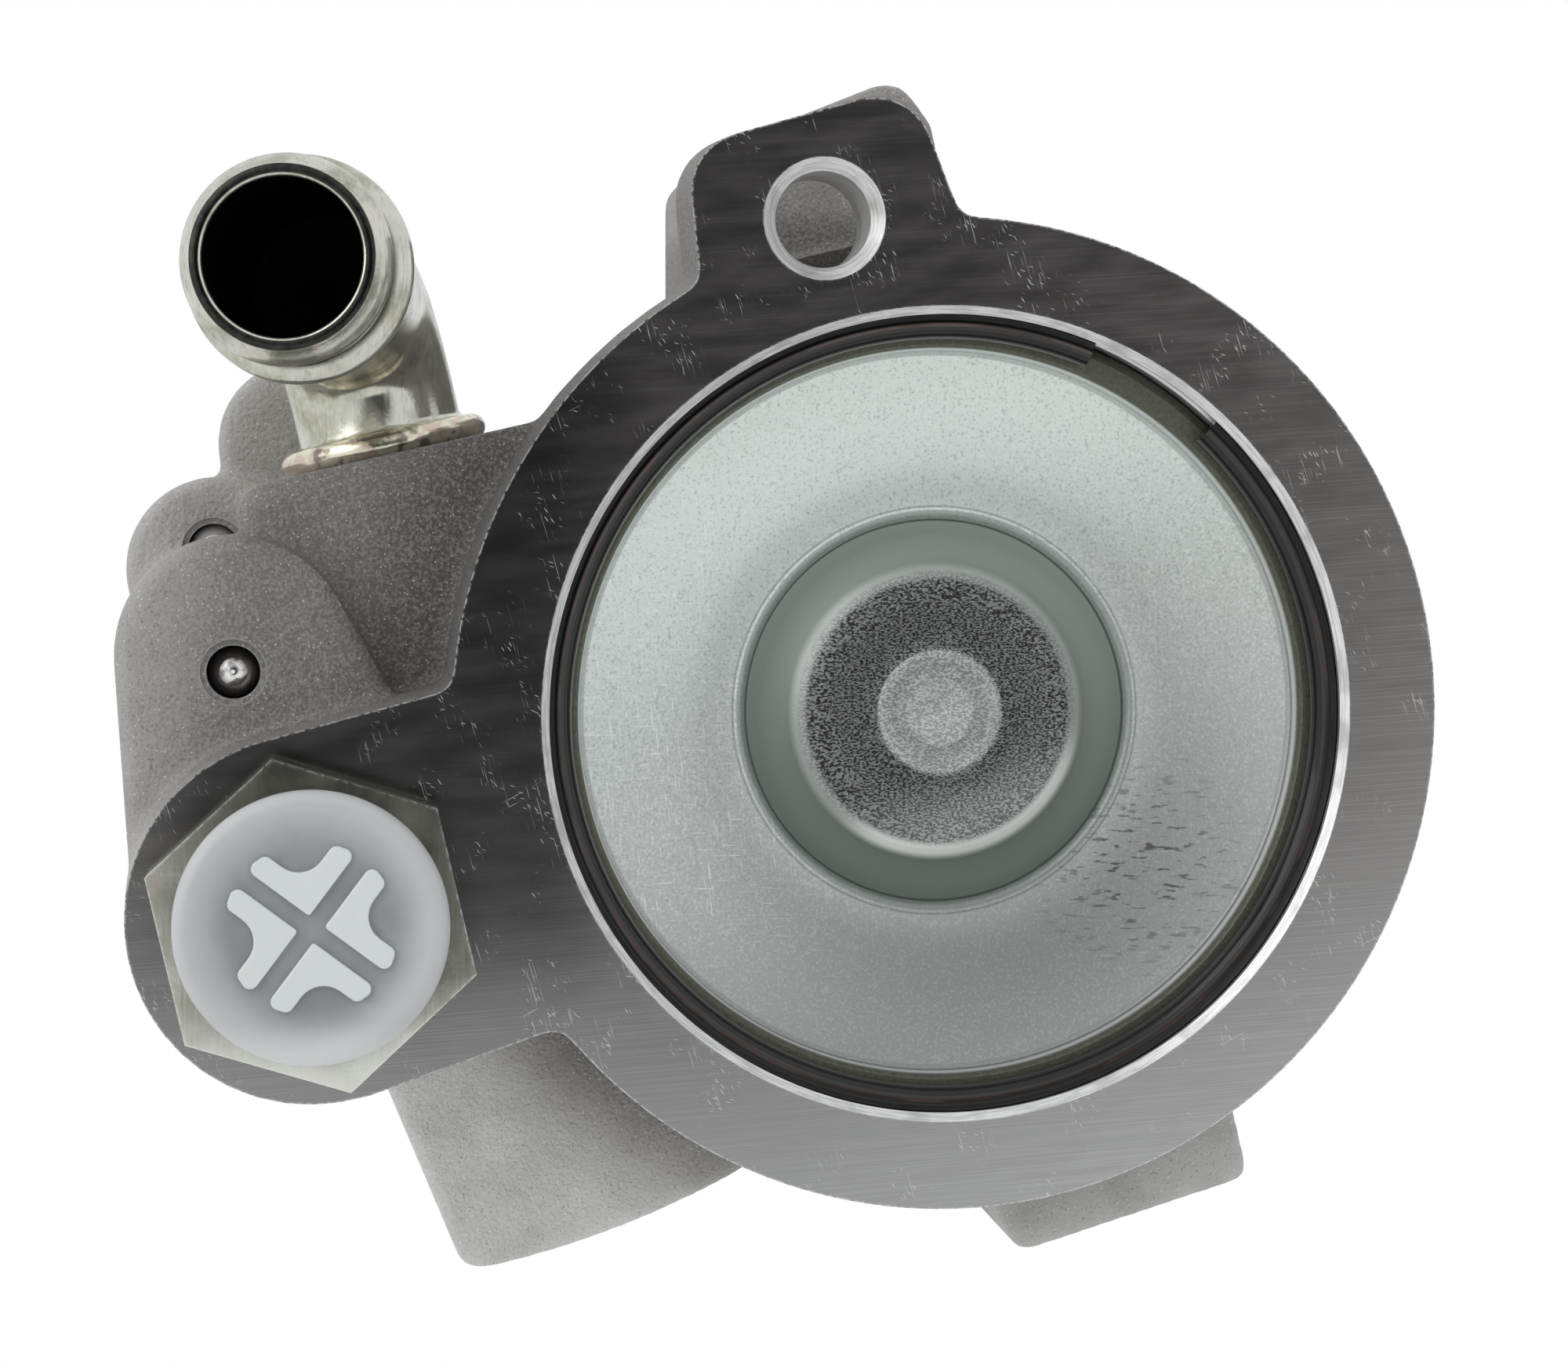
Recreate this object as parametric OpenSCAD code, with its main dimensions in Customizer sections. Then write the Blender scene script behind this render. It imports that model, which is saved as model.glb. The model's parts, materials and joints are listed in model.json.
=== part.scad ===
// Engine-driven hydraulic vane pump with a side flow-control valve and a suction elbow.
// World frame: +Z up, +Y along the shaft towards the drive end, origin on the shaft axis
// at the front mounting face. Every sub-part is drawn on the bench, with the front
// mounting face down at z = 0, and stand() turns it into the world frame.

/* [Housing] */
// Front mounting face to machined rear face
body_len = 66; // [66:0.5:68]
// Radius of the bore that takes the cover
bore_r = 37.5; // [37.5:0.1:38]
// Outside radius of the round flange
flange_r = 46.5; // [46:0.5:48]
// Thickness of the rear flange
flange_t = 12; // [10:1:13]
// Outside radius of the cast barrel behind the flange
barrel_r = 45.3; // [44:0.1:45.5]
// Radius of the machined front pilot
pilot_r = 26; // [25:0.5:28]
// How far the pilot stands out of the front mounting face
pilot_h = 8; // [8:0.5:10]
// Radius of the hole in the ear (M8 clearance)
ear_hole_r = 4.5; // [4:0.25:4.75]
// Tap drill radius of the front mounting threads (M8)
mount_thread_r = 3.4; // [3:0.1:3.5]

/* [Cover and ring] */
// Depth of the cover's raised rim below the rear face
cover_depth = 4.8; // [4.5:0.1:5]
// Thickness of the stamped cover
cover_t = 4; // [3.5:0.1:4]
// Wire radius of the retaining ring
ring_wire_r = 1.5; // [1.3:0.05:1.5]

/* [Outlet and valve] */
// Radius of the outlet boss on the rear face
outlet_boss_r = 17.1; // [17:0.1:18]
// Hexagon of the union, across flats
union_af = 27; // [26:0.5:28]
// Height of the union's hexagon
union_hex_h = 6; // [5:0.5:7]
// Radius of the valve bore
valve_r = 8; // [7.5:0.1:8.2]
// Radius of the union's outlet hole
outlet_r = 7.2; // [6.5:0.1:7.4]
// Radius of the transit cap's flange
cap_r = 12.5; // [12:0.1:12.9]

/* [Suction elbow] */
// Outside radius of the elbow's tube
tube_r = 8; // [7.8:0.05:8]
// Wall of the tube
tube_wall = 1; // [0.8:0.1:1.2]
// Lean of the inlet block's top, in degrees
inlet_tilt = 12.8; // [12:0.1:13.5]
// Centreline radius of the elbow's bend
bend_r = 10; // [9.5:0.1:10.5]

/* [Pumping group] */
// Smallest radius of the two-lobe cam
cam_min_r = 22; // [22:0.1:22.4]
// Stroke of a vane between the cam's smallest and largest radius
vane_stroke = 2.6; // [2:0.1:2.8]
// Number of vanes
vane_count = 10; // [10:1:10]
// Height of the cam ring
cam_h = 18; // [18:0.1:18]

/* [Hidden] */
$fn = 96;

cast = [0.58, 0.57, 0.56];
steel = [0.62, 0.63, 0.65];
dark_steel = [0.25, 0.24, 0.23];
zinc = [0.70, 0.74, 0.70];
yellow_zinc = [0.68, 0.68, 0.52];
rubber = [0.08, 0.08, 0.08];
bronze = [0.72, 0.52, 0.30];
plastic = [0.93, 0.94, 0.95];

// Heights on the bench
rear_z = body_len;
flange_z = rear_z - flange_t;
floor_z = 19;
thrust_t = 4;
cam_z = floor_z + thrust_t;
plate_z = cam_z + cam_h;
plate_t = 8;
plate_top_z = plate_z + plate_t;
run = 0.05;

// Cover skin, from the rim inwards
rim_z = rear_z - cover_depth;
rim_inner_r = 34.8;
dish_z = rim_z - 2.7;
lip_r = 19.1;
lip_z = dish_z - 1.8;
plateau_r = 14.05;
plateau_z = lip_z + 1.2;
dome_z = plateau_z + 1.4;
ring_r = 36.8;
ring_z = rim_z + ring_wire_r;
ring_gap_start = 47;
ring_gap_end = 68;
cover_seal_z = rim_z - 4.7;
seal_wire_r = 1.25;

// Places across the rear face: x to the right, y up
valve = [-59.4, -18.5];
ear_hole = [-11.9, 46.2];
lobe_1 = [-66.6, 5.6];
lobe_1_z = rear_z - 7;
ball_1 = [-66.65, 4.05];
lobe_2 = [-68.3, 13.5];
lobe_2_z = rear_z - 20;
ball_2 = [-68.8, 15.4];
lobe_3 = [-60.5, 26];
lobe_3_z = rear_z - 38;
foot_z = rear_z - 35;
top_lug_z = rear_z - 25;
// Front mounting threads: x, y, depth of the countersink and depth of the hole
mount_threads = [[-12, 47, 1.8, 20], [-38, -49, 1.4, 18.5], [22, -47.5, 1, 17]];
ball_r = 2.5;
plug_seat_r = 3.1;

// Suction elbow: base on the inlet block, corner of its two axes, nose of the nozzle
inlet_base = [-52.1, 23.85, rear_z - 24];
leg_dir = [-sin(inlet_tilt), cos(inlet_tilt), 0];
leg_len = 15.6;
elbow_corner = inlet_base + leg_len * leg_dir;
elbow_nose = [-61.5, 40.9, rear_z + 20];
nozzle_len = norm(elbow_nose - elbow_corner);
nozzle_dir = (elbow_nose - elbow_corner) / nozzle_len;
bend_angle = acos(leg_dir * nozzle_dir);
bend_tangent = bend_r * tan(bend_angle / 2);
elbow_side = cross(leg_dir, nozzle_dir) / norm(cross(leg_dir, nozzle_dir));
elbow_up = cross(elbow_side, leg_dir);
bead_from_nose = 10.3;
barb_r = 9.3;
hose_seat_r = 8.5;
bead_r = 10.25;
collar_r = 10.2;
collar_wire = 1.3;
inlet_spigot = 12;

// Bearing 17 x 40 x 12
shaft_r = 8.5;
bearing_z = -5;
bearing_w = 12;
bearing_or = 20;
ball_pitch_r = 14.25;
bearing_ball_r = 3.4;
bearing_ball_count = 8;
inner_race_r = 12.1;
outer_race_r = 16.4;
race_gap = 0.04;
shaft_nose_z = -40;
pulley_stop_z = -9;
pulley_seat_r = 8;

// Rotor and vanes
rotor_r = 21.6;
vane_t = 1.8;
vane_tip_r = 21.5;
vane_root_r = 13.2;
slot_root_r = 12.4;
spline_teeth = 12;
spline_root_r = 6.7;
spline_tip_r = 7.6;
tail_r = 5.8;
dowel_r = 2;
dowel_pitch_r = 29;

// Valve
valve_floor_z = 10;
union_foot_z = rear_z - 16;
spool_rear_z = union_foot_z - 4;
spool_len = 24;
spool_front_z = spool_rear_z - spool_len;

function cam_r(a) = cam_min_r + vane_stroke * (1 - cos(2 * a)) / 2;
function vane_angle(i) = 360 / vane_count * (i - 0.5);

// ---- helpers

// Turns the bench, with the rear face up, so that the rear face looks along -Y
module stand() {
    rotate([90, 0, 0]) children();
}

// A flat outline from height z0 to height z1
module slab(z0, z1) {
    translate([0, 0, z0]) linear_extrude(z1 - z0) children();
}

// A round bar or hole at place p, from height z0 to height z1
module bar(p, r, z0, z1) {
    translate([p[0], p[1], z0]) cylinder(r = r, h = z1 - z0);
}

// Rounds the outward corners of an outline
module rounded(r) {
    offset(r = r, $fn = 40) offset(delta = -r) children();
}

// Fills the inward corners of an outline
module filleted(r) {
    offset(r = -r, $fn = 40) offset(delta = r) children();
}

// A 45 degree countersink of that depth, for a hole of radius r that starts at z = 0
module countersink(r, depth) {
    translate([0, 0, -0.5]) cylinder(r1 = r + depth + 0.5, r2 = r, h = depth + 0.5);
}

// A round wire or seal, bent to radius r at height z
module torus(r, wire, z) {
    translate([0, 0, z]) rotate_extrude() translate([r, 0]) circle(wire, $fn = 32);
}

// Puts a shape that is drawn with x along the leg and y towards the nozzle at the elbow's corner
module at_elbow_corner() {
    multmatrix([
        [leg_dir[0], elbow_up[0], elbow_side[0], elbow_corner[0]],
        [leg_dir[1], elbow_up[1], elbow_side[1], elbow_corner[1]],
        [leg_dir[2], elbow_up[2], elbow_side[2], elbow_corner[2]],
        [0, 0, 0, 1]
    ]) children();
}

// Puts a shape that is drawn along z at the nozzle's nose, pointing back towards the bend
module at_nozzle_nose() {
    at_elbow_corner() rotate([0, 0, bend_angle])
        translate([nozzle_len, 0, 0]) rotate([0, -90, 0]) children();
}

// Puts a shape that is drawn along z on the inlet block's top, pointing up the leg
module at_inlet() {
    translate(inlet_base) rotate([0, 0, inlet_tilt]) rotate([-90, 0, 0]) children();
}

// A coil of round wire around z, from height z0 to height z1
module coil(r, wire, turns, z0, z1) {
    steps = 14;
    count = turns * steps;
    rise = (z1 - z0 - 2 * wire) / count;
    sides = 6;
    rings = [for (i = [0:count], s = [0:sides - 1]) let (
        a = 360 * i / steps,
        q = 360 * s / sides,
        d = r + wire * cos(q)
    ) [d * cos(a), d * sin(a), z0 + wire + rise * i + wire * sin(q)]];
    walls = [for (i = [0:count - 1], s = [0:sides - 1]) let (n = (s + 1) % sides)
        [i * sides + s, (i + 1) * sides + s, (i + 1) * sides + n, i * sides + n]];
    ends = [[for (s = [0:sides - 1]) s], [for (s = [sides - 1:-1:0]) count * sides + s]];
    polyhedron(points = rings, faces = concat(walls, ends), convexity = 6);
}

// ---- outlines of the casting

module ear_outline() {
    rounded(5.5) polygon([[-22.3, 30], [-24.8, 52.6], [-3.9, 58.6], [7.4, 30]]);
}

module arm_outline() {
    polygon([[-64.2, -2.1], [-40, 4.4], [-30, -26.5], [-53.8, -34.7]]);
}

module flange_outline() {
    filleted(1.8) {
        circle(flange_r, $fn = 180);
        ear_outline();
        arm_outline();
        translate(valve) circle(outlet_boss_r);
    }
}

module top_lug_outline() {
    rounded(3) polygon([[-21.2, 30], [-21.2, 54.4], [-1.5, 62.3], [2.2, 57.5], [5.5, 30]]);
}

module foot_outline() {
    rounded(2.5) intersection() {
        polygon([[-57, -28], [-43.4, -61], [-10, -50], [-10, -25], [-40, -15]]);
        translate([-60.8, 33]) circle(93, $fn = 180);
    }
}

module side_lug_outline() {
    rounded(1.5) polygon([[8, -38], [9.7, -52], [13, -57.8], [37.3, -50.3], [33.5, -34]]);
}

module lobe_1_outline() {
    hull() {
        translate(lobe_1) circle(10.7);
        translate(valve) circle(outlet_boss_r - 0.8);
    }
}

module lobe_2_outline() {
    hull() {
        translate(lobe_2) circle(9);
        translate([-56, 10]) circle(9);
    }
}

module lobe_3_outline() {
    hull() {
        translate(lobe_3) circle(8.5);
        translate([-48, 14]) circle(9);
    }
}

module inlet_block_outline() {
    rounded(2) polygon([[-66, 20.7], [-30, 28.88], [-30, -6], [-62, -6]]);
}

// ---- sub-parts

module casting() {
    slab(flange_z, rear_z) flange_outline();
    bar([0, 0], barrel_r, 6, flange_z + 1);
    bar([0, 0], pilot_r, 1 - pilot_h, 8);
    translate([0, 0, -pilot_h]) cylinder(r1 = pilot_r - 1, r2 = pilot_r, h = 1);
    bar(valve, outlet_boss_r - 0.6, 4, flange_z + 1);
    slab(9, flange_z + 1) filleted(4) {
        polygon([[-60, -6], [-40, -1], [-32, -27], [-55, -33]]);
        circle(barrel_r - 0.4);
        translate(valve) circle(outlet_boss_r - 0.9);
    }
    slab(18, lobe_1_z) lobe_1_outline();
    slab(15, lobe_2_z) lobe_2_outline();
    slab(12, lobe_3_z) lobe_3_outline();
    slab(26, rear_z - 11) inlet_block_outline();
    slab(0, top_lug_z) top_lug_outline();
    slab(0, foot_z) foot_outline();
    slab(0, foot_z) side_lug_outline();
}

module cover_bore() {
    bar([0, 0], bore_r, floor_z, rear_z + 1);
    translate([0, 0, rear_z - 0.75]) cylinder(r1 = bore_r, r2 = bore_r + 1, h = 1);
    torus(ring_r, ring_wire_r + 0.08, ring_z);
    translate([0, 0, cover_seal_z]) rotate_extrude() translate([bore_r - 1, -1.6]) square([3.6, 3.2]);
}

module shaft_bores() {
    bar([0, 0], 10.5, 13, floor_z + 1);
    bar([0, 0], 15, 7, 13.5);
    bar([0, 0], bearing_or, -pilot_h - 1, 7.2);
    bar([0, 0], bearing_or + 1, -6.7, -5);
}

module valve_bores() {
    bar(valve, valve_r, valve_floor_z, rear_z);
    bar(valve, 11, union_foot_z - 1, rear_z + 1);
    bar(valve, 11.8, rear_z - 2, rear_z + 1);
    translate([valve[0], valve[1], rear_z - 1.2]) cylinder(r1 = 11.8, r2 = 13.1, h = 1.5);
}

// Drilled oil ways: pressure to the valve, suction to the cam ring, two ball-plugged drillings
module oil_ways() {
    translate([valve[0], valve[1], plate_z + 10.5]) rotate([0, 0, 17.3]) rotate([0, 90, 0])
        cylinder(r = 2.5, h = 30);
    at_inlet() translate([0, 0, -26]) cylinder(r = 5.5, h = 20);
    translate([-49.2, 4.5, inlet_base[2] - 8]) rotate([0, 90, 0]) cylinder(r = 4, h = 16);
    translate([-49.2, 11, inlet_base[2] - 8]) rotate([90, 0, 0]) cylinder(r = 4, h = 9);
    for (p = [[ball_1, lobe_1_z], [ball_2, lobe_2_z]]) {
        bar(p[0], plug_seat_r, p[1] - 0.4, p[1] + 1);
        bar(p[0], ball_r, p[1] - 8, p[1]);
        bar(p[0], 1.9, 24, p[1] - 7);
    }
}

module mounting_holes() {
    bar(ear_hole, ear_hole_r, flange_z - 1, rear_z + 1);
    translate([ear_hole[0], ear_hole[1], rear_z - 1.2])
        cylinder(r1 = ear_hole_r, r2 = ear_hole_r + 1.4, h = 1.4);
    translate([ear_hole[0], ear_hole[1], flange_z - 0.2])
        cylinder(r1 = ear_hole_r + 1, r2 = ear_hole_r, h = 1);
    for (t = mount_threads) {
        bar(t, mount_thread_r, -1, t[3]);
        translate([t[0], t[1], 0]) countersink(mount_thread_r, t[2]);
    }
}

module pump_housing() {
    color(cast) stand() difference() {
        casting();
        cover_bore();
        shaft_bores();
        valve_bores();
        oil_ways();
        mounting_holes();
        at_inlet() translate([0, 0, -inlet_spigot - 0.3]) cylinder(r = tube_r + 0.02, h = inlet_spigot + 1);
        at_inlet() translate([0, 0, -2.4]) cylinder(r = tube_r + 1.4, h = 3);
    }
}

module end_cover() {
    color(zinc) stand() rotate_extrude() difference() {
        polygon([
            [0, dome_z], [plateau_r - 6, dome_z - 0.3],
            [plateau_r - 1, plateau_z + 0.3], [plateau_r, plateau_z],
            [lip_r - 0.6, lip_z - 0.4], [lip_r, lip_z + 0.15], [lip_r + 0.5, lip_z],
            [rim_inner_r - 0.6, dish_z], [rim_inner_r, rim_z], [ring_r - 0.3, rim_z],
            [bore_r - 0.1, rim_z - 1], [bore_r - 0.1, rim_z - 7.5], [bore_r - 0.6, rim_z - 8],
            [lip_r, lip_z - cover_t], [plateau_r, plateau_z - cover_t], [0, dome_z - cover_t]
        ]);
        translate([5.9, dome_z + 0.1]) circle(0.35, $fn = 16);
    }
}

module cover_retaining_ring() {
    color(dark_steel) stand() translate([0, 0, ring_z])
        rotate([0, 0, ring_gap_end])
        rotate_extrude(angle = 360 - ring_gap_end + ring_gap_start)
        translate([ring_r, 0]) circle(ring_wire_r, $fn = 32);
}

module cover_o_ring() {
    color(rubber) stand() torus(bore_r + seal_wire_r + 0.05, seal_wire_r, cover_seal_z);
}

// Outside or inside skin of the elbow, for the tube radius r. The bend is wider by swell,
// and the straight runs reach a little way into it.
module elbow_run(r, over, swell) {
    reach = 0.4;
    at_elbow_corner() translate([-leg_len - inlet_spigot - over, 0, 0]) rotate([0, 90, 0])
        cylinder(r = r, h = leg_len + inlet_spigot + over - bend_tangent + reach);
    at_elbow_corner() translate([-bend_tangent, bend_r, 0]) rotate([0, 0, -90])
        rotate_extrude(angle = bend_angle) translate([bend_r, 0]) circle(r + swell);
    at_nozzle_nose() translate([0, 0, -over]) cylinder(r = r, h = nozzle_len - bend_tangent + over + reach);
}

module inlet_elbow() {
    color(yellow_zinc) stand() difference() {
        union() {
            elbow_run(tube_r, 0, 0.2);
            at_nozzle_nose() rotate_extrude() polygon([
                [tube_r - 0.5, 0.3], [tube_r, 0.3], [barb_r - 0.4, 1.2], [barb_r, 2.2], [barb_r, 2.8],
                [hose_seat_r, 3.8], [hose_seat_r, bead_from_nose], [tube_r - 0.5, bead_from_nose]
            ]);
            at_nozzle_nose() translate([0, 0, bead_from_nose]) rotate_extrude() {
                translate([bead_r - 1.2, 0]) circle(1.2, $fn = 32);
                polygon([[tube_r - 0.5, -2], [bead_r - 1.2, -1], [bead_r - 1.2, 1], [tube_r - 0.5, 2]]);
            }
            at_inlet() rotate_extrude() {
                translate([collar_r - collar_wire, collar_wire + 0.35]) circle(collar_wire, $fn = 32);
                translate([tube_r - 0.5, 0.5]) square([collar_r - collar_wire - tube_r + 0.5, 2.3]);
            }
        }
        elbow_run(tube_r - tube_wall, 1, -0.2);
    }
}

module inlet_o_ring() {
    color(rubber) stand() at_inlet() torus(tube_r + 0.68, 0.62, -1.5);
}

module outlet_union() {
    color(yellow_zinc) stand() translate([valve[0], valve[1], 0]) difference() {
        union() {
            intersection() {
                translate([0, 0, rear_z + 0.05]) rotate([0, 0, 43])
                    cylinder(r = union_af / sqrt(3), h = union_hex_h, $fn = 6);
                translate([0, 0, rear_z])
                    cylinder(r1 = union_af / 2 + 2.5, r2 = union_af / 2 + 2.2, h = union_hex_h + 0.1);
            }
            translate([0, 0, union_foot_z]) cylinder(r = 10.95, h = rear_z - union_foot_z + 1);
        }
        translate([0, 0, rear_z - 9]) cylinder(r = outlet_r, h = 30);
        translate([0, 0, rear_z - 11.5]) cylinder(r1 = 4, r2 = outlet_r, h = 2.6);
        translate([0, 0, union_foot_z - 1]) cylinder(r = 3, h = 20);
        translate([0, 0, rear_z - 1.9]) rotate_extrude() translate([9.9, 0]) square([3, 1.9]);
    }
}

module outlet_union_o_ring() {
    color(rubber) stand() translate([valve[0], valve[1], 0]) torus(10.85, 0.85, rear_z - 0.95);
}

module outlet_transit_cap() {
    color(plastic) stand() translate([valve[0], valve[1], rear_z + union_hex_h + 0.1]) {
        difference() {
            union() {
                rotate_extrude() polygon([
                    [0, 0], [cap_r - 0.3, 0], [cap_r, 0.4], [cap_r, 1.6], [cap_r - 0.4, 2.4],
                    [cap_r - 1.3, 2.8], [0, 2.8]
                ]);
                translate([0, 0, -11]) cylinder(r1 = outlet_r - 0.5, r2 = outlet_r - 0.06, h = 11.5);
            }
            translate([0, 0, 2]) cylinder(r = 10.2, h = 2);
            translate([0, 0, -12]) cylinder(r = outlet_r - 1.6, h = 13);
        }
        for (q = [0:3]) rotate([0, 0, 90 * q + 10]) slab(1.9, 2.9) cap_rib();
    }
}

// One of the four bent ribs on the cap's face
module cap_rib() {
    for (side = [-1, 1]) rotate([0, 0, 45 * side]) translate([1, -1.9 * side - 0.9]) square([7, 1.8]);
}

module passage_ball_plug_1() {
    color(steel) stand() translate([ball_1[0], ball_1[1], lobe_1_z - 3]) sphere(ball_r - 0.02);
}

module passage_ball_plug_2() {
    color(steel) stand() translate([ball_2[0], ball_2[1], lobe_2_z - 2.6]) sphere(ball_r - 0.02);
}

module spline(extra) {
    circle(spline_root_r + extra);
    for (i = [1:spline_teeth]) rotate([0, 0, 360 / spline_teeth * i])
        translate([0, -0.8 - extra]) square([spline_tip_r + extra, 1.6 + 2 * extra]);
}

module drive_shaft() {
    color(steel) stand() difference() {
        union() {
            translate([0, 0, shaft_nose_z]) cylinder(r1 = pulley_seat_r - 1, r2 = pulley_seat_r, h = 1);
            bar([0, 0], pulley_seat_r, shaft_nose_z + 1, pulley_stop_z + 1);
            bar([0, 0], shaft_r, pulley_stop_z, floor_z + 3);
            slab(floor_z + 2, plate_z - 0.3) spline(0);
            bar([0, 0], tail_r, plate_z - 1, plate_top_z - 0.5);
        }
        translate([0, 0, shaft_nose_z - 1]) cylinder(r = 3.4, h = 19);
        translate([0, 0, shaft_nose_z]) countersink(3.4, 1);
        translate([0, 0, plate_z + 0.25]) rotate_extrude() translate([tail_r - 0.5, 0]) square([2, 1.1]);
    }
}

module bearing_outer_race() {
    color(steel) stand() translate([0, 0, bearing_z]) rotate_extrude() difference() {
        translate([outer_race_r, 0]) square([bearing_or - outer_race_r, bearing_w]);
        translate([ball_pitch_r, bearing_w / 2]) circle(bearing_ball_r + race_gap);
    }
}

module bearing_inner_race() {
    color(steel) stand() translate([0, 0, bearing_z]) rotate_extrude() difference() {
        translate([shaft_r, 0]) square([inner_race_r - shaft_r, bearing_w]);
        translate([ball_pitch_r, bearing_w / 2]) circle(bearing_ball_r + race_gap);
    }
}

module at_bearing_balls() {
    for (i = [1:bearing_ball_count]) rotate([0, 0, 360 / bearing_ball_count * i])
        translate([ball_pitch_r, 0, bearing_z + bearing_w / 2]) children();
}

module bearing_balls() {
    color(steel) stand() at_bearing_balls() sphere(bearing_ball_r);
}

module bearing_cage() {
    color(bronze) stand() difference() {
        translate([0, 0, bearing_z + 2]) rotate_extrude() translate([13.4, 0]) square([1.7, bearing_w - 4]);
        at_bearing_balls() rotate([0, 90, 0]) cylinder(r = bearing_ball_r + 0.05, h = 8, center = true);
    }
}

module bearing_circlip() {
    color(dark_steel) stand() slab(-6.6, -5.1) difference() {
        circle(bearing_or + 0.8);
        circle(bearing_or - 2.6);
        rotate([0, 0, -90]) polygon([[0, 0], [30, -7], [30, 7]]);
    }
}

module shaft_seal_case() {
    color(dark_steel) stand() translate([0, 0, 7.4]) rotate_extrude()
        polygon([[11, 0], [14.98, 0], [14.98, 5.9], [13.4, 5.9], [13.4, 1.2], [11, 1.2]]);
}

module shaft_seal_lip() {
    color(rubber) stand() translate([0, 0, 7.4]) rotate_extrude() difference() {
        polygon([
            [9.3, 0.3], [10.95, 0.1], [10.95, 1.25], [13.3, 1.25], [13.3, 2.2], [11, 2.2],
            [10.9, 5.4], [9.6, 5.4], [shaft_r + run, 4.2], [9.2, 2.6]
        ]);
        translate([11, 4.3]) circle(0.6, $fn = 24);
    }
}

module shaft_seal_garter_spring() {
    color(steel) stand() torus(11.05, 0.5, 7.4 + 4.3);
}

module front_bushing() {
    color(bronze) stand() slab(13.6, floor_z - 0.1) difference() {
        circle(10.49);
        circle(shaft_r + run);
    }
}

module rear_bushing() {
    color(bronze) stand() slab(plate_z + 2.6, plate_top_z - 0.2) difference() {
        circle(tail_r + 1.9);
        circle(tail_r + run);
    }
}

// Kidney port between radii r0 and r1, centred on angle a
module kidney(r0, r1, a) {
    intersection() {
        difference() {
            circle(r1);
            circle(r0);
        }
        rotate([0, 0, a]) polygon([[0, 0], [40, -22], [40, 22]]);
    }
}

module dowel_holes() {
    for (a = [135, 315]) rotate([0, 0, a]) translate([dowel_pitch_r, 0]) circle(dowel_r + 0.02);
}

module thrust_plate() {
    color(steel) stand() slab(floor_z, cam_z) difference() {
        circle(bore_r - 0.3);
        circle(shaft_r + 0.4);
        dowel_holes();
        for (a = [40, 220]) kidney(18.5, 26, a);
    }
}

module cam_ring() {
    color(dark_steel) stand() slab(cam_z, plate_z) difference() {
        circle(33);
        polygon([for (a = [0:4:356]) cam_r(a) * [cos(a), sin(a)]]);
        dowel_holes();
    }
}

module dowel_pins() {
    color(steel) stand() for (a = [135, 315]) rotate([0, 0, a])
        bar([dowel_pitch_r, 0], dowel_r, floor_z + 0.2, plate_z + 4);
}

module rotor() {
    color(steel) stand() slab(cam_z + run, plate_z - run) difference() {
        circle(rotor_r);
        spline(0.03);
        for (i = [1:vane_count]) rotate([0, 0, vane_angle(i)]) {
            translate([slot_root_r, -vane_t / 2 - run]) square([12, vane_t + 2 * run]);
            translate([slot_root_r, 0]) circle(1.5);
        }
    }
}

module rotor_snap_ring() {
    color(dark_steel) stand() slab(plate_z + 0.3, plate_z + 1.3) difference() {
        circle(tail_r + 1.6);
        circle(tail_r - 0.45);
        rotate([0, 0, -90]) polygon([[0, 0], [12, -3], [12, 3]]);
    }
}

// One vane, drawn retracted in its slot
module vane(i) {
    color(dark_steel) stand() rotate([0, 0, vane_angle(i)]) slab(cam_z + run, plate_z - run) {
        translate([vane_root_r, -vane_t / 2]) square([vane_tip_r - vane_t / 2 - vane_root_r, vane_t]);
        translate([vane_tip_r - vane_t / 2, 0]) circle(vane_t / 2);
    }
}

module pressure_plate() {
    color(cast) stand() difference() {
        bar([0, 0], bore_r - 0.15, plate_z, plate_top_z);
        bar([0, 0], tail_r + 1.92, plate_z - 1, plate_top_z + 1);
        bar([0, 0], tail_r + 2.6, plate_z - 1, plate_z + 2.5);
        for (a = [135, 315]) rotate([0, 0, a])
            bar([dowel_pitch_r, 0], dowel_r + 0.02, plate_z - 1, plate_z + 4.5);
        slab(plate_z - 1, plate_top_z + 1) for (a = [130, 310]) kidney(18.5, 23.5, a);
        translate([0, 0, plate_z + 3]) rotate_extrude() translate([bore_r - 2.6, 0]) square([4, 3]);
    }
}

module pressure_plate_o_ring() {
    color(rubber) stand() torus(bore_r - 1.3, 1.2, plate_z + 4.5);
}

// Disc spring between the pressure plate and the cover
module pressure_plate_spring() {
    color(dark_steel) stand() translate([0, 0, plate_top_z]) rotate_extrude()
        polygon([[22, 2.0], [22.4, 3.1], [32.4, 1.2], [32, 0]]);
}

module flow_control_spool() {
    color(steel) stand() translate([valve[0], valve[1], 0]) difference() {
        bar([0, 0], valve_r - 0.03, spool_front_z, spool_rear_z);
        for (z = [spool_front_z + 4, spool_front_z + 14]) translate([0, 0, z])
            rotate_extrude() translate([valve_r - 1.5, 0]) square([3, 4.5]);
        bar([0, 0], 4.5, spool_front_z - 1, spool_rear_z - 4);
        bar([0, 0], 1.5, spool_front_z, spool_rear_z + 1);
    }
}

module flow_control_spring() {
    color(steel) stand() translate([valve[0], valve[1], 0])
        coil(6, 0.6, 6, valve_floor_z + 0.05, spool_front_z - 0.05);
}

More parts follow.
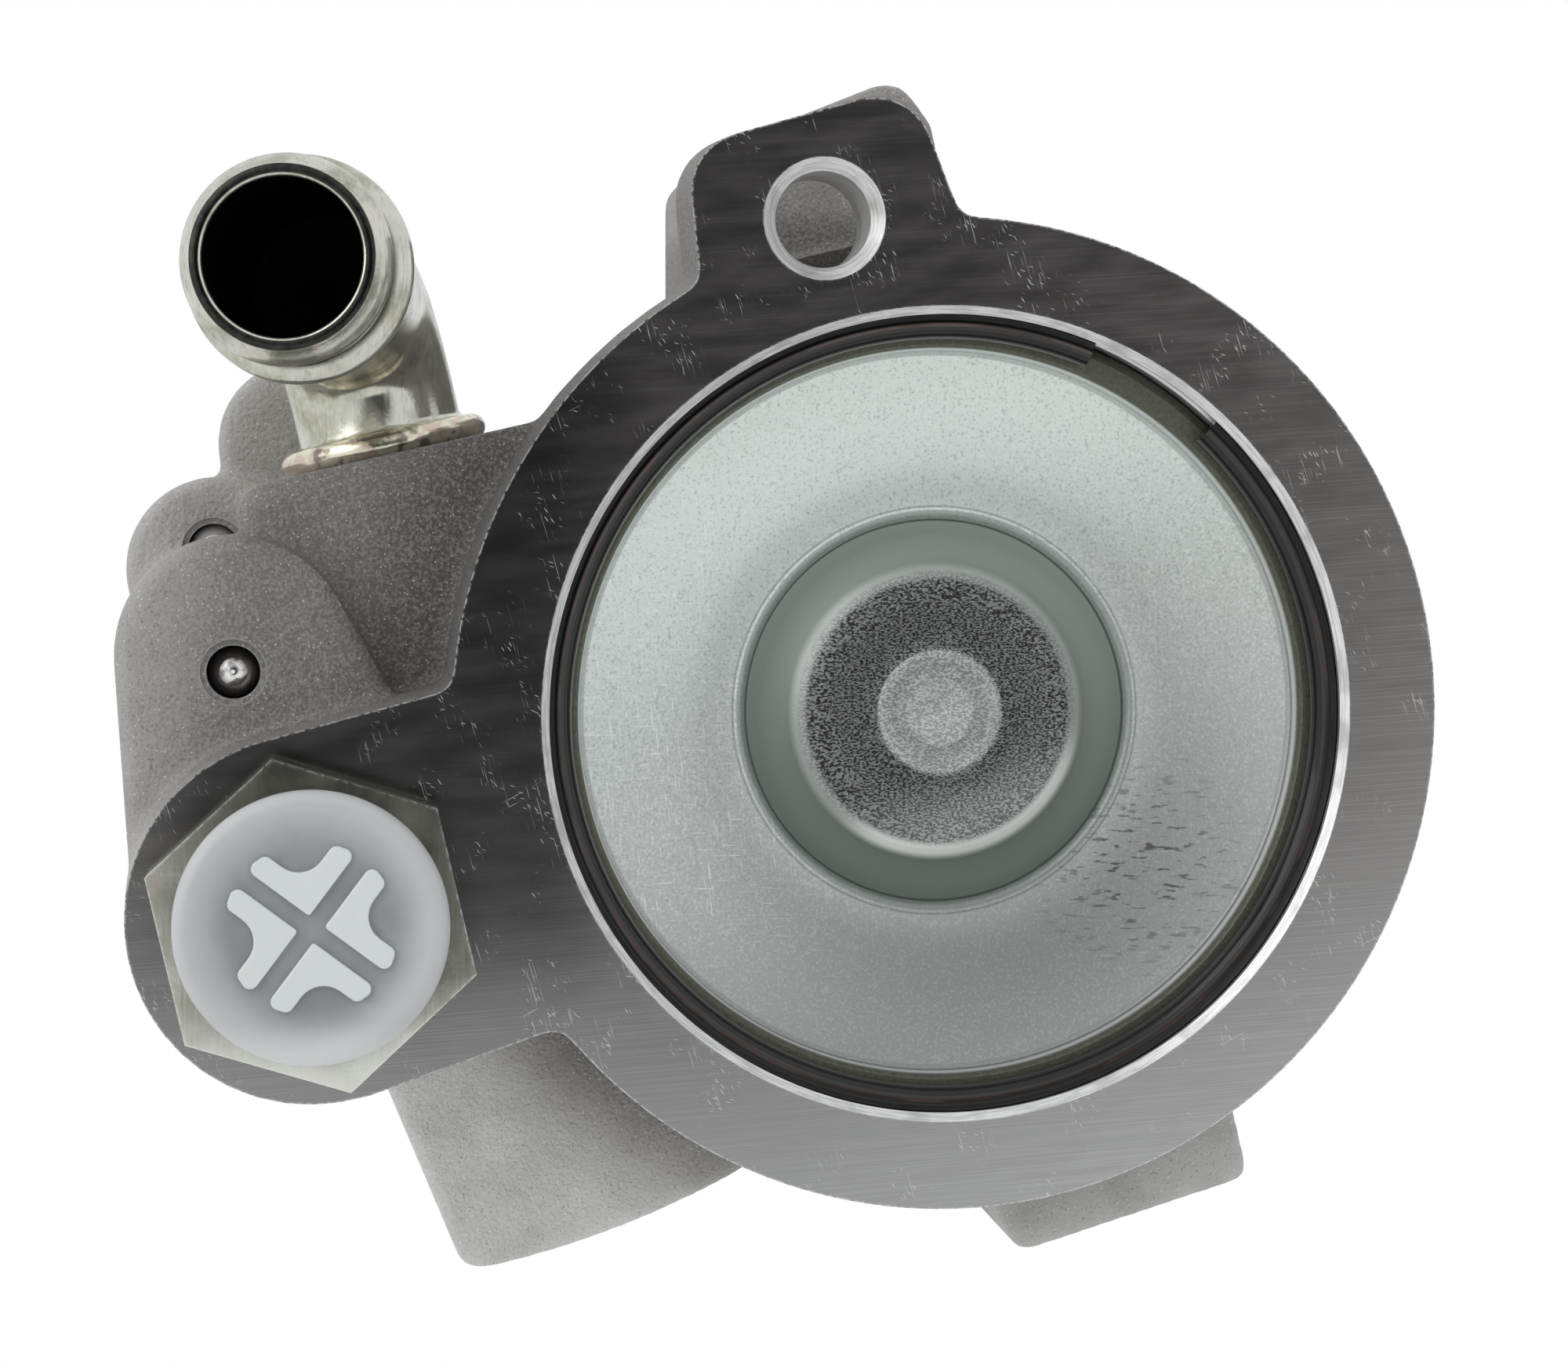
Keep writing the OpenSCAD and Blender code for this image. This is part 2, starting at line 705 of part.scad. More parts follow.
module relief_seat_plug() {
    color(bronze) stand() translate([valve[0], valve[1], 0]) difference() {
        bar([0, 0], 4.45, spool_front_z + 0.5, spool_front_z + 3.5);
        bar([0, 0], 1.4, spool_front_z, spool_front_z + 4);
    }
}

module relief_ball() {
    color(steel) stand() translate([valve[0], valve[1], spool_rear_z - 5.2]) sphere(1.9);
}

module relief_guide() {
    color(steel) stand() translate([valve[0], valve[1], 0]) {
        bar([0, 0], 3.4, spool_rear_z - 9.6, spool_rear_z - 7.2);
        bar([0, 0], 1.3, spool_rear_z - 12.5, spool_rear_z - 9.5);
    }
}

module relief_spring() {
    color(steel) stand() translate([valve[0], valve[1], 0])
        coil(2.6, 0.4, 5, spool_front_z + 3.55, spool_rear_z - 9.65);
}

pump_housing();
end_cover();
cover_retaining_ring();
cover_o_ring();
inlet_elbow();
inlet_o_ring();
outlet_union();
outlet_union_o_ring();
outlet_transit_cap();
passage_ball_plug_1();
passage_ball_plug_2();
drive_shaft();
bearing_outer_race();
bearing_inner_race();
bearing_balls();
bearing_cage();
bearing_circlip();
shaft_seal_case();
shaft_seal_lip();
shaft_seal_garter_spring();
front_bushing();
rear_bushing();
thrust_plate();
cam_ring();
dowel_pins();
rotor();
rotor_snap_ring();
pressure_plate();
pressure_plate_o_ring();
pressure_plate_spring();
flow_control_spool();
flow_control_spring();
relief_seat_plug();
relief_ball();
relief_guide();
relief_spring();
for (i = [1:vane_count]) vane(i);
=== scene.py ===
"""Looks of a hydraulic vane pump, seen from its rear cover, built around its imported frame.

Shapes are drawn in millimetres on the bench, with the front mounting face down at z = 0 and
the rear face up. STAND turns the bench into the world, where the rear face looks along -Y.
"""

import json
import math

import bmesh
import bpy
import numpy as np
from mathutils import Matrix, Vector


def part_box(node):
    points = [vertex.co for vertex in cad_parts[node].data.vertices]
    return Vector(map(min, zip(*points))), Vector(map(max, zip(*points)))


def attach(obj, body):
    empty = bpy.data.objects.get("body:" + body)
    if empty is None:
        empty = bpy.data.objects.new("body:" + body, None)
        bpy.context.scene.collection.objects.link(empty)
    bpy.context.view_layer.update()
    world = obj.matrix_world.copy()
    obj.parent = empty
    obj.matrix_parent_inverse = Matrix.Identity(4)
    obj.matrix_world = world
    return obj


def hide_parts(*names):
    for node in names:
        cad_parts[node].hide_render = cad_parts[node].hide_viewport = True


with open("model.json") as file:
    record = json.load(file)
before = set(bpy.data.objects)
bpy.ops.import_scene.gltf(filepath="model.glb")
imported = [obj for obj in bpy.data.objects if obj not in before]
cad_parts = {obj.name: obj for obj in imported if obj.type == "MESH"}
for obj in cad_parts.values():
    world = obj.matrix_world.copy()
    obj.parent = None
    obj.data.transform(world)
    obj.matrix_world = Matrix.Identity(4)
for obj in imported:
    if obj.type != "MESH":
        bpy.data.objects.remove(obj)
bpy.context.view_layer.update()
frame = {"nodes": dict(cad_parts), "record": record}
NODES = frame["nodes"]
MM = 0.001
STAND = Matrix.Rotation(math.radians(90), 4, "X")

# Bench sizes, in millimetres. The rear face comes from the frame, and what is near it follows
REAR = -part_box("pump_housing")[0].y / MM
FLANGE = REAR - 12
PILOT_TOP = -8
PILOT_R = 26
BORE_R = 37.5
RING_R = 36.8
RING_WIRE = 1.5
RING_Z = REAR - 3.3
COVER_RIM = REAR - 4.8
VALVE = (-59.4, -18.5)
EAR_HOLE = (-11.9, 46.2)
EAR_HOLE_R = 4.5
# Ball-plugged drillings: x, y and the height of the lobe's face
BALL_SEATS = [(-66.65, 4.05, REAR - 7), (-68.8, 15.4, REAR - 20)]
# Front mounting threads: x, y, depth of the countersink and depth of the hole
THREADS = [(-12, 47, 1.8, 20), (-38, -49, 1.4, 18.5), (22, -47.5, 1, 17)]
THREAD_R = 3.4
UNION_TOP = REAR + 6

# Stepped bore for the shaft, from the pump floor to the front
PUMP_FLOOR = 19
SHAFT_BORE_R = 10.5
SEAL_TOP = 13.5
SEAL_R = 15
BEARING_TOP = 7.2
BEARING_R = 20
CIRCLIP_R = 21
CIRCLIP = (-6.7, -5)

# The three kinds of surface on the housing
CAST, MILLED, BORED = range(3)

# Suction elbow: base on the inlet block, corner of its two axes, nose of the nozzle
TUBE_R = 8
TUBE_BORE_R = 7
BEND_R = 10
LEG = 15.6
INLET_TILT = math.radians(12.8)
INLET_BASE = Vector((-52.1, 23.85, REAR - 24))
LEG_DIR = Vector((-math.sin(INLET_TILT), math.cos(INLET_TILT), 0))
ELBOW_CORNER = INLET_BASE + LEG * LEG_DIR
ELBOW_NOSE = Vector((-61.5, 40.9, REAR + 20))


# ---- mesh helpers

def add_object(name, mesh):
    made = bpy.data.objects.new(name, mesh)
    bpy.context.scene.collection.objects.link(made)
    return made


def solid(name, points, faces, place=STAND):
    """A closed mesh from bench points in millimetres, with its faces turned outwards."""
    mesh = bpy.data.meshes.new(name)
    mesh.from_pydata([place @ Vector(p) * MM for p in points], [], faces)
    work = bmesh.new()
    work.from_mesh(mesh)
    bmesh.ops.recalc_face_normals(work, faces=work.faces)
    work.to_mesh(mesh)
    work.free()
    return add_object(name, mesh)


def skin(rings):
    """Faces that join a closed chain of rings of point numbers. A ring of one point is a pole."""
    faces = []
    for a, b in zip(rings, rings[1:] + rings[:1]):
        if len(a) == 1 and len(b) == 1:
            continue
        count = max(len(a), len(b))
        for i in range(count):
            n = (i + 1) % count
            corners = [a[i % len(a)], a[n % len(a)], b[n % len(b)], b[i % len(b)]]
            faces.append(list(dict.fromkeys(corners)))
    return faces


def lathe(name, outline, centre=(0, 0), place=STAND, steps=192):
    """Turns a closed outline of (radius, height) points around a line along the bench's z."""
    points, rings = [], []
    for r, z in outline:
        turns = 1 if r == 0 else steps
        rings.append(list(range(len(points), len(points) + turns)))
        for i in range(turns):
            a = 2 * math.pi * i / steps
            points.append((centre[0] + r * math.cos(a), centre[1] + r * math.sin(a), z))
    return solid(name, points, skin(rings), place)


def rounded_outline(corners, steps=8):
    """A closed outline from (x, y, radius) corners, each turned into an arc."""
    outline = []
    for i, (x, y, r) in enumerate(corners):
        here = Vector((x, y))
        before = Vector(corners[i - 1][:2]) - here
        after = Vector(corners[(i + 1) % len(corners)][:2]) - here
        before.normalize()
        after.normalize()
        half = before.angle(after) / 2
        middle = here + (before + after).normalized() * (r / math.sin(half))
        first = here + before * (r / math.tan(half)) - middle
        last = here + after * (r / math.tan(half)) - middle
        start = math.atan2(first.y, first.x)
        sweep = (math.atan2(last.y, last.x) - start + math.pi) % (2 * math.pi) - math.pi
        for k in range(steps + 1):
            a = start + sweep * k / steps
            outline.append(middle + Vector((math.cos(a), math.sin(a))) * r)
    return outline


def arc(r, z, radius, first, last, step):
    """(radius, height) points on an arc around (r, z), for a range of angles in degrees."""
    angles = [math.radians(d) for d in range(first, last, step)]
    return [(r + radius * math.cos(a), z + radius * math.sin(a)) for a in angles]


def prism(name, outline, z0, z1, centre=(0, 0), turn=0):
    """A flat outline from height z0 to z1, turned by an angle in degrees and moved to centre."""
    spin = Matrix.Rotation(math.radians(turn), 2)
    flat = [spin @ Vector(p) for p in outline]
    count = len(flat)
    points = [(centre[0] + p.x, centre[1] + p.y, z) for z in (z0, z1) for p in flat]
    faces = [[i, (i + 1) % count, count + (i + 1) % count, count + i] for i in range(count)]
    faces += [list(range(count)), list(range(count, 2 * count))]
    return solid(name, points, faces)


def apply_modifiers(obj):
    graph = bpy.context.evaluated_depsgraph_get()
    mesh = bpy.data.meshes.new_from_object(obj.evaluated_get(graph))
    obj.modifiers.clear()
    obj.data = mesh


def join(name, parts):
    """One object in place of several, whose meshes are put together and may overlap."""
    work = bmesh.new()
    for part in parts:
        work.from_mesh(part.data)
        bpy.data.objects.remove(part)
    mesh = bpy.data.meshes.new(name)
    work.to_mesh(mesh)
    work.free()
    return add_object(name, mesh)


def cut(body, cutter):
    """Takes the cutter's solid out of the body, and then deletes the cutter."""
    modifier = body.modifiers.new("cut", "BOOLEAN")
    modifier.operation = "DIFFERENCE"
    modifier.solver = "MANIFOLD"
    modifier.object = cutter
    apply_modifiers(body)
    bpy.data.objects.remove(cutter)


def smooth(obj, sharp_above=30):
    """Smooth shading, with edges sharper than an angle in degrees kept crisp."""
    mesh = obj.data
    mesh.polygons.foreach_set("use_smooth", [True] * len(mesh.polygons))
    mesh.set_sharp_from_angle(angle=math.radians(sharp_above))


def bevel(obj, width, segments=2, angle=30):
    """Breaks edges sharper than an angle in degrees, by a width in millimetres."""
    modifier = obj.modifiers.new("bevel", "BEVEL")
    modifier.width = width * MM
    modifier.segments = segments
    modifier.limit_method = "ANGLE"
    modifier.angle_limit = math.radians(angle)
    modifier.harden_normals = False


def piece(obj, body, slot, material, *nodes):
    """Puts a finished piece on its body, in place of the CAD nodes it stands for."""
    obj.data.materials.clear()
    obj.data.materials.append(material)
    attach(obj, body)
    if nodes:
        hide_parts(*nodes)


# ---- materials

class Finish:
    """A procedural material. Its patterns are in millimetres, in the piece's own frame."""

    def __init__(self, name, metallic=0.0, coat=0.0, subsurface=0.0):
        self.material = bpy.data.materials.new(name)
        self.material.use_nodes = True
        self.tree = self.material.node_tree
        self.surface = self.tree.nodes["Principled BSDF"]
        self.surface.inputs["Metallic"].default_value = metallic
        self.surface.inputs["Coat Weight"].default_value = coat
        self.surface.inputs["Subsurface Weight"].default_value = subsurface
        self.surface.inputs["Subsurface Scale"].default_value = 2 * MM
        coordinates = self.tree.nodes.new("ShaderNodeTexCoord")
        self.mm = self.vector("MULTIPLY", coordinates.outputs["Object"], (1 / MM,) * 3)
        split = self.node("SeparateXYZ", [self.mm])
        self.x, self.y, self.z = split.outputs

    def node(self, kind, inputs, **settings):
        """A node of that kind, with its inputs in order. None leaves an input alone."""
        made = self.tree.nodes.new("ShaderNode" + kind)
        for key, value in settings.items():
            setattr(made, key, value)
        for socket, value in zip(made.inputs, inputs):
            self.feed(socket, value)
        return made

    def feed(self, socket, value):
        if isinstance(value, bpy.types.NodeSocket):
            self.tree.links.new(value, socket)
        elif value is not None:
            if socket.type == "RGBA" and len(value) == 3:
                value = (*value, 1)
            socket.default_value = value

    def vector(self, operation, a, b):
        return self.node("VectorMath", [a, b], operation=operation).outputs[0]

    def math(self, operation, a, b=None):
        return self.node("Math", [a, b], operation=operation).outputs[0]

    def times(self, a, b):
        return self.math("MULTIPLY", a, b)

    def most(self, a, b):
        return self.math("MAXIMUM", a, b)

    def stretch(self, x, y, z, turn=0):
        """Coordinates scaled along each axis, after a turn about Y in degrees."""
        angles = (0, math.radians(turn), 0)
        turned = self.node("Mapping", [self.mm, None, angles], vector_type="POINT")
        return self.vector("MULTIPLY", turned.outputs[0], (x, y, z))

    def noise(self, size, detail=2, where=None):
        """Soft noise with lumps of about that many millimetres."""
        made = self.node("TexNoise", [])
        self.feed(made.inputs["Vector"], where or self.mm)
        self.feed(made.inputs["Scale"], 1 / size)
        self.feed(made.inputs["Detail"], detail)
        return made.outputs["Fac"]

    def cells(self, size, where=None):
        """Distance to the middle of the nearest random cell, from 0."""
        made = self.node("TexVoronoi", [])
        self.feed(made.inputs["Vector"], where or self.mm)
        self.feed(made.inputs["Scale"], 1 / size)
        return made.outputs["Distance"]

    def span(self, value, start, end, low=0, high=1):
        """Rises smoothly from low to high as value goes from start to end."""
        inputs = [value, start, end, low, high]
        made = self.node("MapRange", inputs, interpolation_type="SMOOTHSTEP")
        return made.outputs[0]

    def band(self, value, start, end, soft):
        """1 between start and end, with soft sides."""
        rise = self.span(value, start - soft, start + soft)
        fall = self.span(value, end - soft, end + soft, 1, 0)
        return self.times(rise, fall)

    def off_axis(self, x, y):
        """Distance in millimetres from a bench point, across the shaft's direction."""
        across = self.math("SUBTRACT", self.x, x)
        up = self.math("SUBTRACT", self.z, y)
        flat = self.node("CombineXYZ", [across, up, 0]).outputs[0]
        return self.node("VectorMath", [flat], operation="LENGTH").outputs["Value"]

    def mix(self, amount, a, b):
        made = self.tree.nodes.new("ShaderNodeMix")
        made.data_type = "RGBA"
        self.feed(made.inputs[0], amount)
        self.feed(made.inputs[6], a)
        self.feed(made.inputs[7], b)
        return made.outputs[2]

    def edges(self, width):
        """Near 1 on edges, and 0 a width in millimetres away from them."""
        made = self.node("Bevel", [width * MM], samples=6)
        flat = self.tree.nodes.new("ShaderNodeNewGeometry").outputs["Normal"]
        same = self.node("VectorMath", [made.outputs[0], flat], operation="DOT_PRODUCT")
        return self.span(same.outputs["Value"], 0.99, 0.8)

    def bump(self, height, depth, below=None):
        """Bends the light as if height, from 0 to 1, were that many millimetres deep."""
        made = self.node("Bump", [])
        made.inputs["Strength"].default_value = 1
        self.feed(made.inputs["Distance"], depth * MM)
        self.feed(made.inputs["Height"], height)
        if below is not None:
            self.feed(made.inputs["Normal"], below)
        return made.outputs[0]

    def done(self, colour, roughness, normal=None):
        self.feed(self.surface.inputs["Base Color"], colour)
        self.feed(self.surface.inputs["Roughness"], roughness)
        if normal is not None:
            self.feed(self.surface.inputs["Normal"], normal)
        return self.material


def cast_aluminium():
    """Bead-blasted casting: matte warm grey with fine grain and white specks, with painted light and
    shade: lighter low down, darker nearer the axis and in hollows, lighter edges.
    """
    f = Finish("cast_aluminium", metallic=0.35)
    r = f.off_axis(0, 0)
    # Painted light: lighter low down away from the bore, and lighter at the left than at the right
    beside = f.most(f.span(r, 46, 61), f.span(f.x, -15, 5, 0, 0.65))
    low = f.times(f.span(f.z, -8, -38), beside)
    # Painted shade: darker nearer the shaft's axis, lighter on the outer lobes
    tone = f.mix(f.span(r, 65, 77), (0.20, 0.186, 0.176), (0.40, 0.385, 0.365))
    light = f.mix(f.span(f.x, 0, 15), (0.75, 0.74, 0.72), (0.58, 0.57, 0.55))
    tone = f.mix(low, tone, light)
    # Painted light: paler on the outer lobes from 10 mm behind the rear face, and on the top at the
    # left
    behind = f.times(f.span(f.y, -56, -48), f.span(r, 61, 66))
    high = f.times(f.span(f.y, -44, -40), f.span(f.z, 46, 50))
    pale = f.most(behind, f.times(high, f.span(f.x, 10, 0)))
    tone = f.mix(f.times(pale, 0.4), tone, (0.62, 0.60, 0.575))
    # Painted shade: a dark corner at the upper left, close to the bore
    corner = f.times(f.span(r, 60, 50), f.span(f.x, -26, -36))
    corner = f.times(corner, f.span(f.z, -4, 8))
    tone = f.mix(f.times(corner, 0.65), tone, (0.075, 0.069, 0.064))
    # Painted shade: darker towards the front, far behind the rear face
    deep = f.span(f.y, -30, -16)
    tone = f.mix(f.times(deep, 0.3), tone, (0.13, 0.122, 0.115))
    grain = f.noise(0.3, 3)
    tone = f.mix(f.span(grain, 0.42, 0.66, 0, 0.38), tone, (0.52, 0.51, 0.495))
    tone = f.mix(f.span(grain, 0.42, 0.3, 0, 0.45), tone, (0.115, 0.108, 0.10))
    tone = f.mix(f.span(f.noise(5, 3), 0.42, 0.7, 0, 0.16), tone, (0.165, 0.155, 0.146))
    specks = f.span(f.cells(0.6), 0.17, 0.08)
    tone = f.mix(f.times(specks, 0.6), tone, (0.88, 0.88, 0.87))
    # Painted highlight: lighter edges
    tone = f.mix(f.times(f.edges(0.35), 0.35), tone, (0.7, 0.7, 0.69))
    normal = f.bump(f.noise(0.45, 3), 0.16)
    normal = f.bump(f.noise(2.2, 2), 0.16, normal)
    return f.done(tone, f.span(grain, 0.3, 0.7, 0.6, 0.78), normal)


def machined_aluminium():
    """Milled face: a dark, dull mirror with faint level lines and small white nicks, painted lighter
    towards the bottom and darker at the left as painted reflection, with thin burrs along its edges
    painted bright as edge highlights.
    """
    f = Finish("machined_aluminium")
    # Painted reflection: lighter towards the bottom
    low = f.span(f.z, 5, -46)
    tone = f.mix(low, (0.46, 0.435, 0.42), (0.62, 0.62, 0.61))
    lines = f.noise(1, 3, f.stretch(0.05, 0, 5.5, 4))
    tone = f.mix(f.span(lines, 0.45, 0.62, 0, 0.2), tone, (0.80, 0.79, 0.77))
    clouds = f.noise(1, 4, f.stretch(0.12, 1, 0.5, 8))
    tone = f.mix(f.span(clouds, 0.42, 0.68, 0, 0.15), tone, (0.36, 0.34, 0.33))
    # Painted reflection: darker at the left
    left = f.times(f.span(f.x, -26, -40, 0, 0.85), f.span(f.z, -30, -15))
    left = f.times(left, f.span(f.x, -76, -68, 0.3, 1))
    tone = f.mix(left, tone, (0.17, 0.162, 0.157))
    clusters = f.span(f.noise(5, 3), 0.5, 0.64, 0, 0.7)
    steep = f.span(f.cells(1, f.stretch(3.8, 0, 0.45, 35)), 0.17, 0.09)
    shallow = f.span(f.cells(1, f.stretch(0.5, 0, 4.2, -20)), 0.16, 0.08)
    nicks = f.times(f.most(steep, shallow), clusters)
    scratch = f.span(f.noise(1, 2, f.stretch(0.14, 0, 4.5, 28)), 0.69, 0.73)
    hairs = f.span(f.noise(1, 2, f.stretch(6, 0, 0.2, 16)), 0.62, 0.68)
    scratch = f.times(f.most(scratch, hairs), clusters)
    marks = f.most(nicks, f.times(scratch, 0.55))
    # A thin burr line along the edges, painted bright as an edge highlight
    burr_and_edge_highlight = f.times(f.edges(0.42), f.span(f.noise(0.5, 3), 0.4, 0.56, 0.2, 1))
    marks = f.most(marks, f.times(burr_and_edge_highlight, 0.85))
    tone = f.mix(marks, tone, (0.84, 0.84, 0.83))
    f.feed(f.surface.inputs["Metallic"], f.span(marks, 0, 1, 1, 0.25))
    normal = f.bump(lines, 0.002)
    rough = f.span(clouds, 0.3, 0.7, 0.17, 0.22)
    return f.done(tone, f.math("ADD", rough, f.times(marks, 0.35)), normal)


def turned_aluminium():
    """Bright bore walls and chamfers, with fine tool lines around them, painted darker deeper in as
    painted shade.
    """
    f = Finish("turned_aluminium", metallic=0.7)
    lines = f.noise(1, 2, f.stretch(0.3, 7, 0.3))
    tone = f.mix(f.span(lines, 0.35, 0.65), (0.62, 0.62, 0.61), (0.90, 0.90, 0.89))
    tone = f.mix(f.span(f.noise(3, 3), 0.5, 0.7, 0, 0.5), tone, (0.42, 0.42, 0.41))
    # Painted shade: darker deeper into the bore
    deep = f.span(f.y, -61, -52)
    tone = f.mix(f.times(deep, 0.45), tone, (0.25, 0.25, 0.245))
    return f.done(tone, f.span(lines, 0.3, 0.7, 0.3, 0.42), f.bump(lines, 0.006))


def cover_cone(f, speck):
    """The cover's cone: painted bright above and dull below as painted light, with specks, scratches
    and dark dashed patches at the lower right.
    """
    # Painted light: brighter towards the top left, duller below
    height = f.math("ADD", f.z, f.times(f.x, -0.35))
    cone = f.mix(f.span(height, 30, 0), (0.80, 0.86, 0.82), (0.58, 0.605, 0.58))
    cone = f.mix(f.span(height, 4, -34), cone, (0.34, 0.345, 0.34))
    strong = f.span(height, -30, 12, 0.3, 1)
    bright_specks = f.times(f.span(speck, 0.5, 0.68, 0, 0.45), strong)
    cone = f.mix(bright_specks, cone, (0.92, 0.95, 0.92))
    pits = f.times(f.span(speck, 0.46, 0.32, 0, 0.4), strong)
    cone = f.mix(pits, cone, (0.25, 0.265, 0.255))
    level = f.span(f.noise(1, 2, f.stretch(0.28, 1, 6.5)), 0.64, 0.72)
    upright = f.span(f.noise(1, 2, f.stretch(6.5, 1, 0.28, 6)), 0.64, 0.72)
    left = f.times(f.span(f.x, 6, -20, 0.2, 1), f.span(f.z, -26, -14, 0.1, 1))
    scratches = f.times(f.most(level, upright), left)
    cone = f.mix(f.times(scratches, 0.7), cone, (0.95, 0.96, 0.95))
    # Dark dashed patches at the lower right
    dark_dash_area = f.span(f.off_axis(20, -15), 14, 2)
    dashes = f.span(f.noise(1, 3, f.stretch(0.6, 1, 2.6)), 0.57, 0.66)
    dark_dashes = f.times(dark_dash_area, dashes)
    return f.mix(f.times(dark_dashes, 0.8), cone, (0.07, 0.068, 0.066))


def cover_wall(f, r, tone):
    """The smooth green-grey wall inside the cover's rolled lip, painted lighter above as painted
    light, between two dark lines of painted shade in the creases beside the lip.
    """
    # Painted light: the wall is lighter at the top, darker at the bottom
    wall_tone = f.mix(f.span(f.z, 16, -16), (0.28, 0.315, 0.28), (0.155, 0.18, 0.158))
    lip = f.band(r, 18.45, 19.25, 0.12)
    tone = f.mix(f.times(lip, 0.6), tone, (0.19, 0.215, 0.20))
    tone = f.mix(f.span(r, 18.5, 18.3), tone, wall_tone)
    # Painted shade: dark lines in the creases on each side of the lip
    edge = f.times(f.band(r, 19.5, 19.68, 0.12), 0.65)
    lip_crease_shade = f.most(f.band(r, 18.2, 18.38, 0.05), edge)
    return f.mix(f.times(lip_crease_shade, 0.8), tone, (0.05, 0.055, 0.05))


def cover_middle(f, r, tone):
    """The cover's dark grainy middle, painted lighter towards the bottom right as painted light, its
    two lighter steps and a painted highlight on the shoulder below.
    """
    grain = f.span(f.noise(1, 4, f.stretch(3.4, 1, 6.5)), 0.42, 0.6)
    # Painted light: the middle is lighter towards the bottom right
    shade = f.span(f.math("ADD", f.z, f.times(f.x, -0.35)), -4.5, -12.5)
    dark = f.mix(shade, (0.022, 0.021, 0.024), (0.15, 0.157, 0.15))
    light = f.mix(shade, (0.27, 0.275, 0.27), (0.44, 0.46, 0.45))
    middle = f.mix(grain, dark, light)
    steps = f.most(f.span(r, 6.2, 5.7, 0, 0.55), f.span(r, 3.6, 3.2, 0, 0.72))
    middle = f.mix(steps, middle, f.mix(grain, (0.48, 0.51, 0.49), (0.80, 0.83, 0.81)))
    tone = f.mix(f.span(r, 13.6, 13.2), tone, middle)
    # Painted highlight: a bright crescent on the shoulder, strongest at the bottom right
    highlight_crescent = f.times(f.band(r, 12.8, 14.0, 0.45), f.span(shade, 0, 1, 0.35, 1))
    return f.mix(highlight_crescent, tone, (0.90, 0.92, 0.88))


def cover_edge(f, r, tone):
    """The cover's mottled olive rim, painted dark as shade in the gap under the ring, with a painted
    highlight line where the cone starts and a band of painted shade just inside it.
    """
    # Painted shade: the rim in the gap under the ring is painted dark, over a mottled olive
    dark_mottle = f.mix(f.noise(0.4, 3), (0.075, 0.08, 0.055), (0.24, 0.245, 0.19))
    tone = f.mix(f.span(r, 34.5, 34.6), tone, dark_mottle)
    # Painted highlight: a bright line on the rim's edge
    tone = f.mix(f.band(r, 34.38, 34.5, 0.05), tone, (0.85, 0.87, 0.84))
    # Painted shade: a darker band at the foot of the rim's step
    return f.mix(f.times(f.band(r, 33.9, 34.32, 0.1), 0.5), tone, (0.24, 0.26, 0.25))


def zinc_plate():
    """Bright zinc on the stamped cover, from its cone inwards and then out to its rim."""
    f = Finish("zinc_plate", metallic=0.7)
    r = f.off_axis(0, 0)
    speck = f.noise(0.28, 4)
    tone = cover_cone(f, speck)
    tone = cover_wall(f, r, tone)
    tone = cover_middle(f, r, tone)
    tone = cover_edge(f, r, tone)
    rough = f.span(f.band(r, 14.2, 18.4, 0.2), 0, 1, 0.42, 0.48)
    return f.done(tone, rough, f.bump(speck, 0.02))


def yellow_zinc(name, silver, olive, rough):
    """Yellow-passivated zinc between two tones, with pink patches, draw streaks and rubbed edges
    painted bright as edge highlights.
    """
    f = Finish(name, metallic=0.9)
    patches = f.noise(4, 3)
    tone = f.mix(f.span(patches, 0.35, 0.7), silver, olive)
    tone = f.mix(f.span(f.noise(3.5, 2), 0.56, 0.7, 0, 0.4), tone, (0.70, 0.56, 0.50))
    streaks = f.noise(1, 3, f.stretch(3.4, 3.4, 0.25))
    tone = f.mix(f.span(streaks, 0.5, 0.7, 0, 0.2), tone, (0.86, 0.86, 0.78))
    tone = f.mix(f.span(streaks, 0.45, 0.3, 0, 0.3), tone, (0.13, 0.125, 0.085))
    # Rubbed edges, painted bright as edge highlights
    rub_and_edge_highlight = f.times(f.edges(0.4), f.span(f.noise(0.5, 2), 0.35, 0.5, 0.3, 1))
    tone = f.mix(rub_and_edge_highlight, tone, (0.95, 0.95, 0.92))
    return f, tone, f.span(patches, 0.3, 0.7, rough * 0.75, rough * 1.2)


def union_zinc():
    """The union's hexagon, painted dark at its upper flats and on its right side and pale at its
    lower ones, as painted light and shade.
    """
    f, tone, rough = yellow_zinc("yellow_zinc_union", (0.60, 0.60, 0.53), (0.42, 0.42, 0.34), 0.3)
    height = f.math("SUBTRACT", f.z, VALVE[1])
    tone = f.mix(0.15, tone, (0.17, 0.17, 0.145))
    # Painted shade: the upper flats are painted dark
    tone = f.mix(f.span(height, 2, 15), tone, (0.17, 0.17, 0.145))
    # Painted shade: darker on the right side
    right = f.times(f.span(f.x, VALVE[0] + 7, VALVE[0] + 13), f.span(height, -9, -2))
    tone = f.mix(f.times(right, 0.6), tone, (0.09, 0.09, 0.075))
    # Painted light: the lower flats are painted pale
    tone = f.mix(f.span(height, -5, -15, 0, 0.8), tone, (0.86, 0.88, 0.82))
    # Chipped edges, painted bright as edge highlights
    chips_and_edge_highlights = f.times(f.edges(0.6), f.span(f.noise(0.6, 3), 0.42, 0.56))
    tone = f.mix(f.times(chips_and_edge_highlights, 0.8), tone, (0.93, 0.94, 0.88))
    return f.done(tone, rough, f.bump(f.noise(0.4, 3), 0.012))


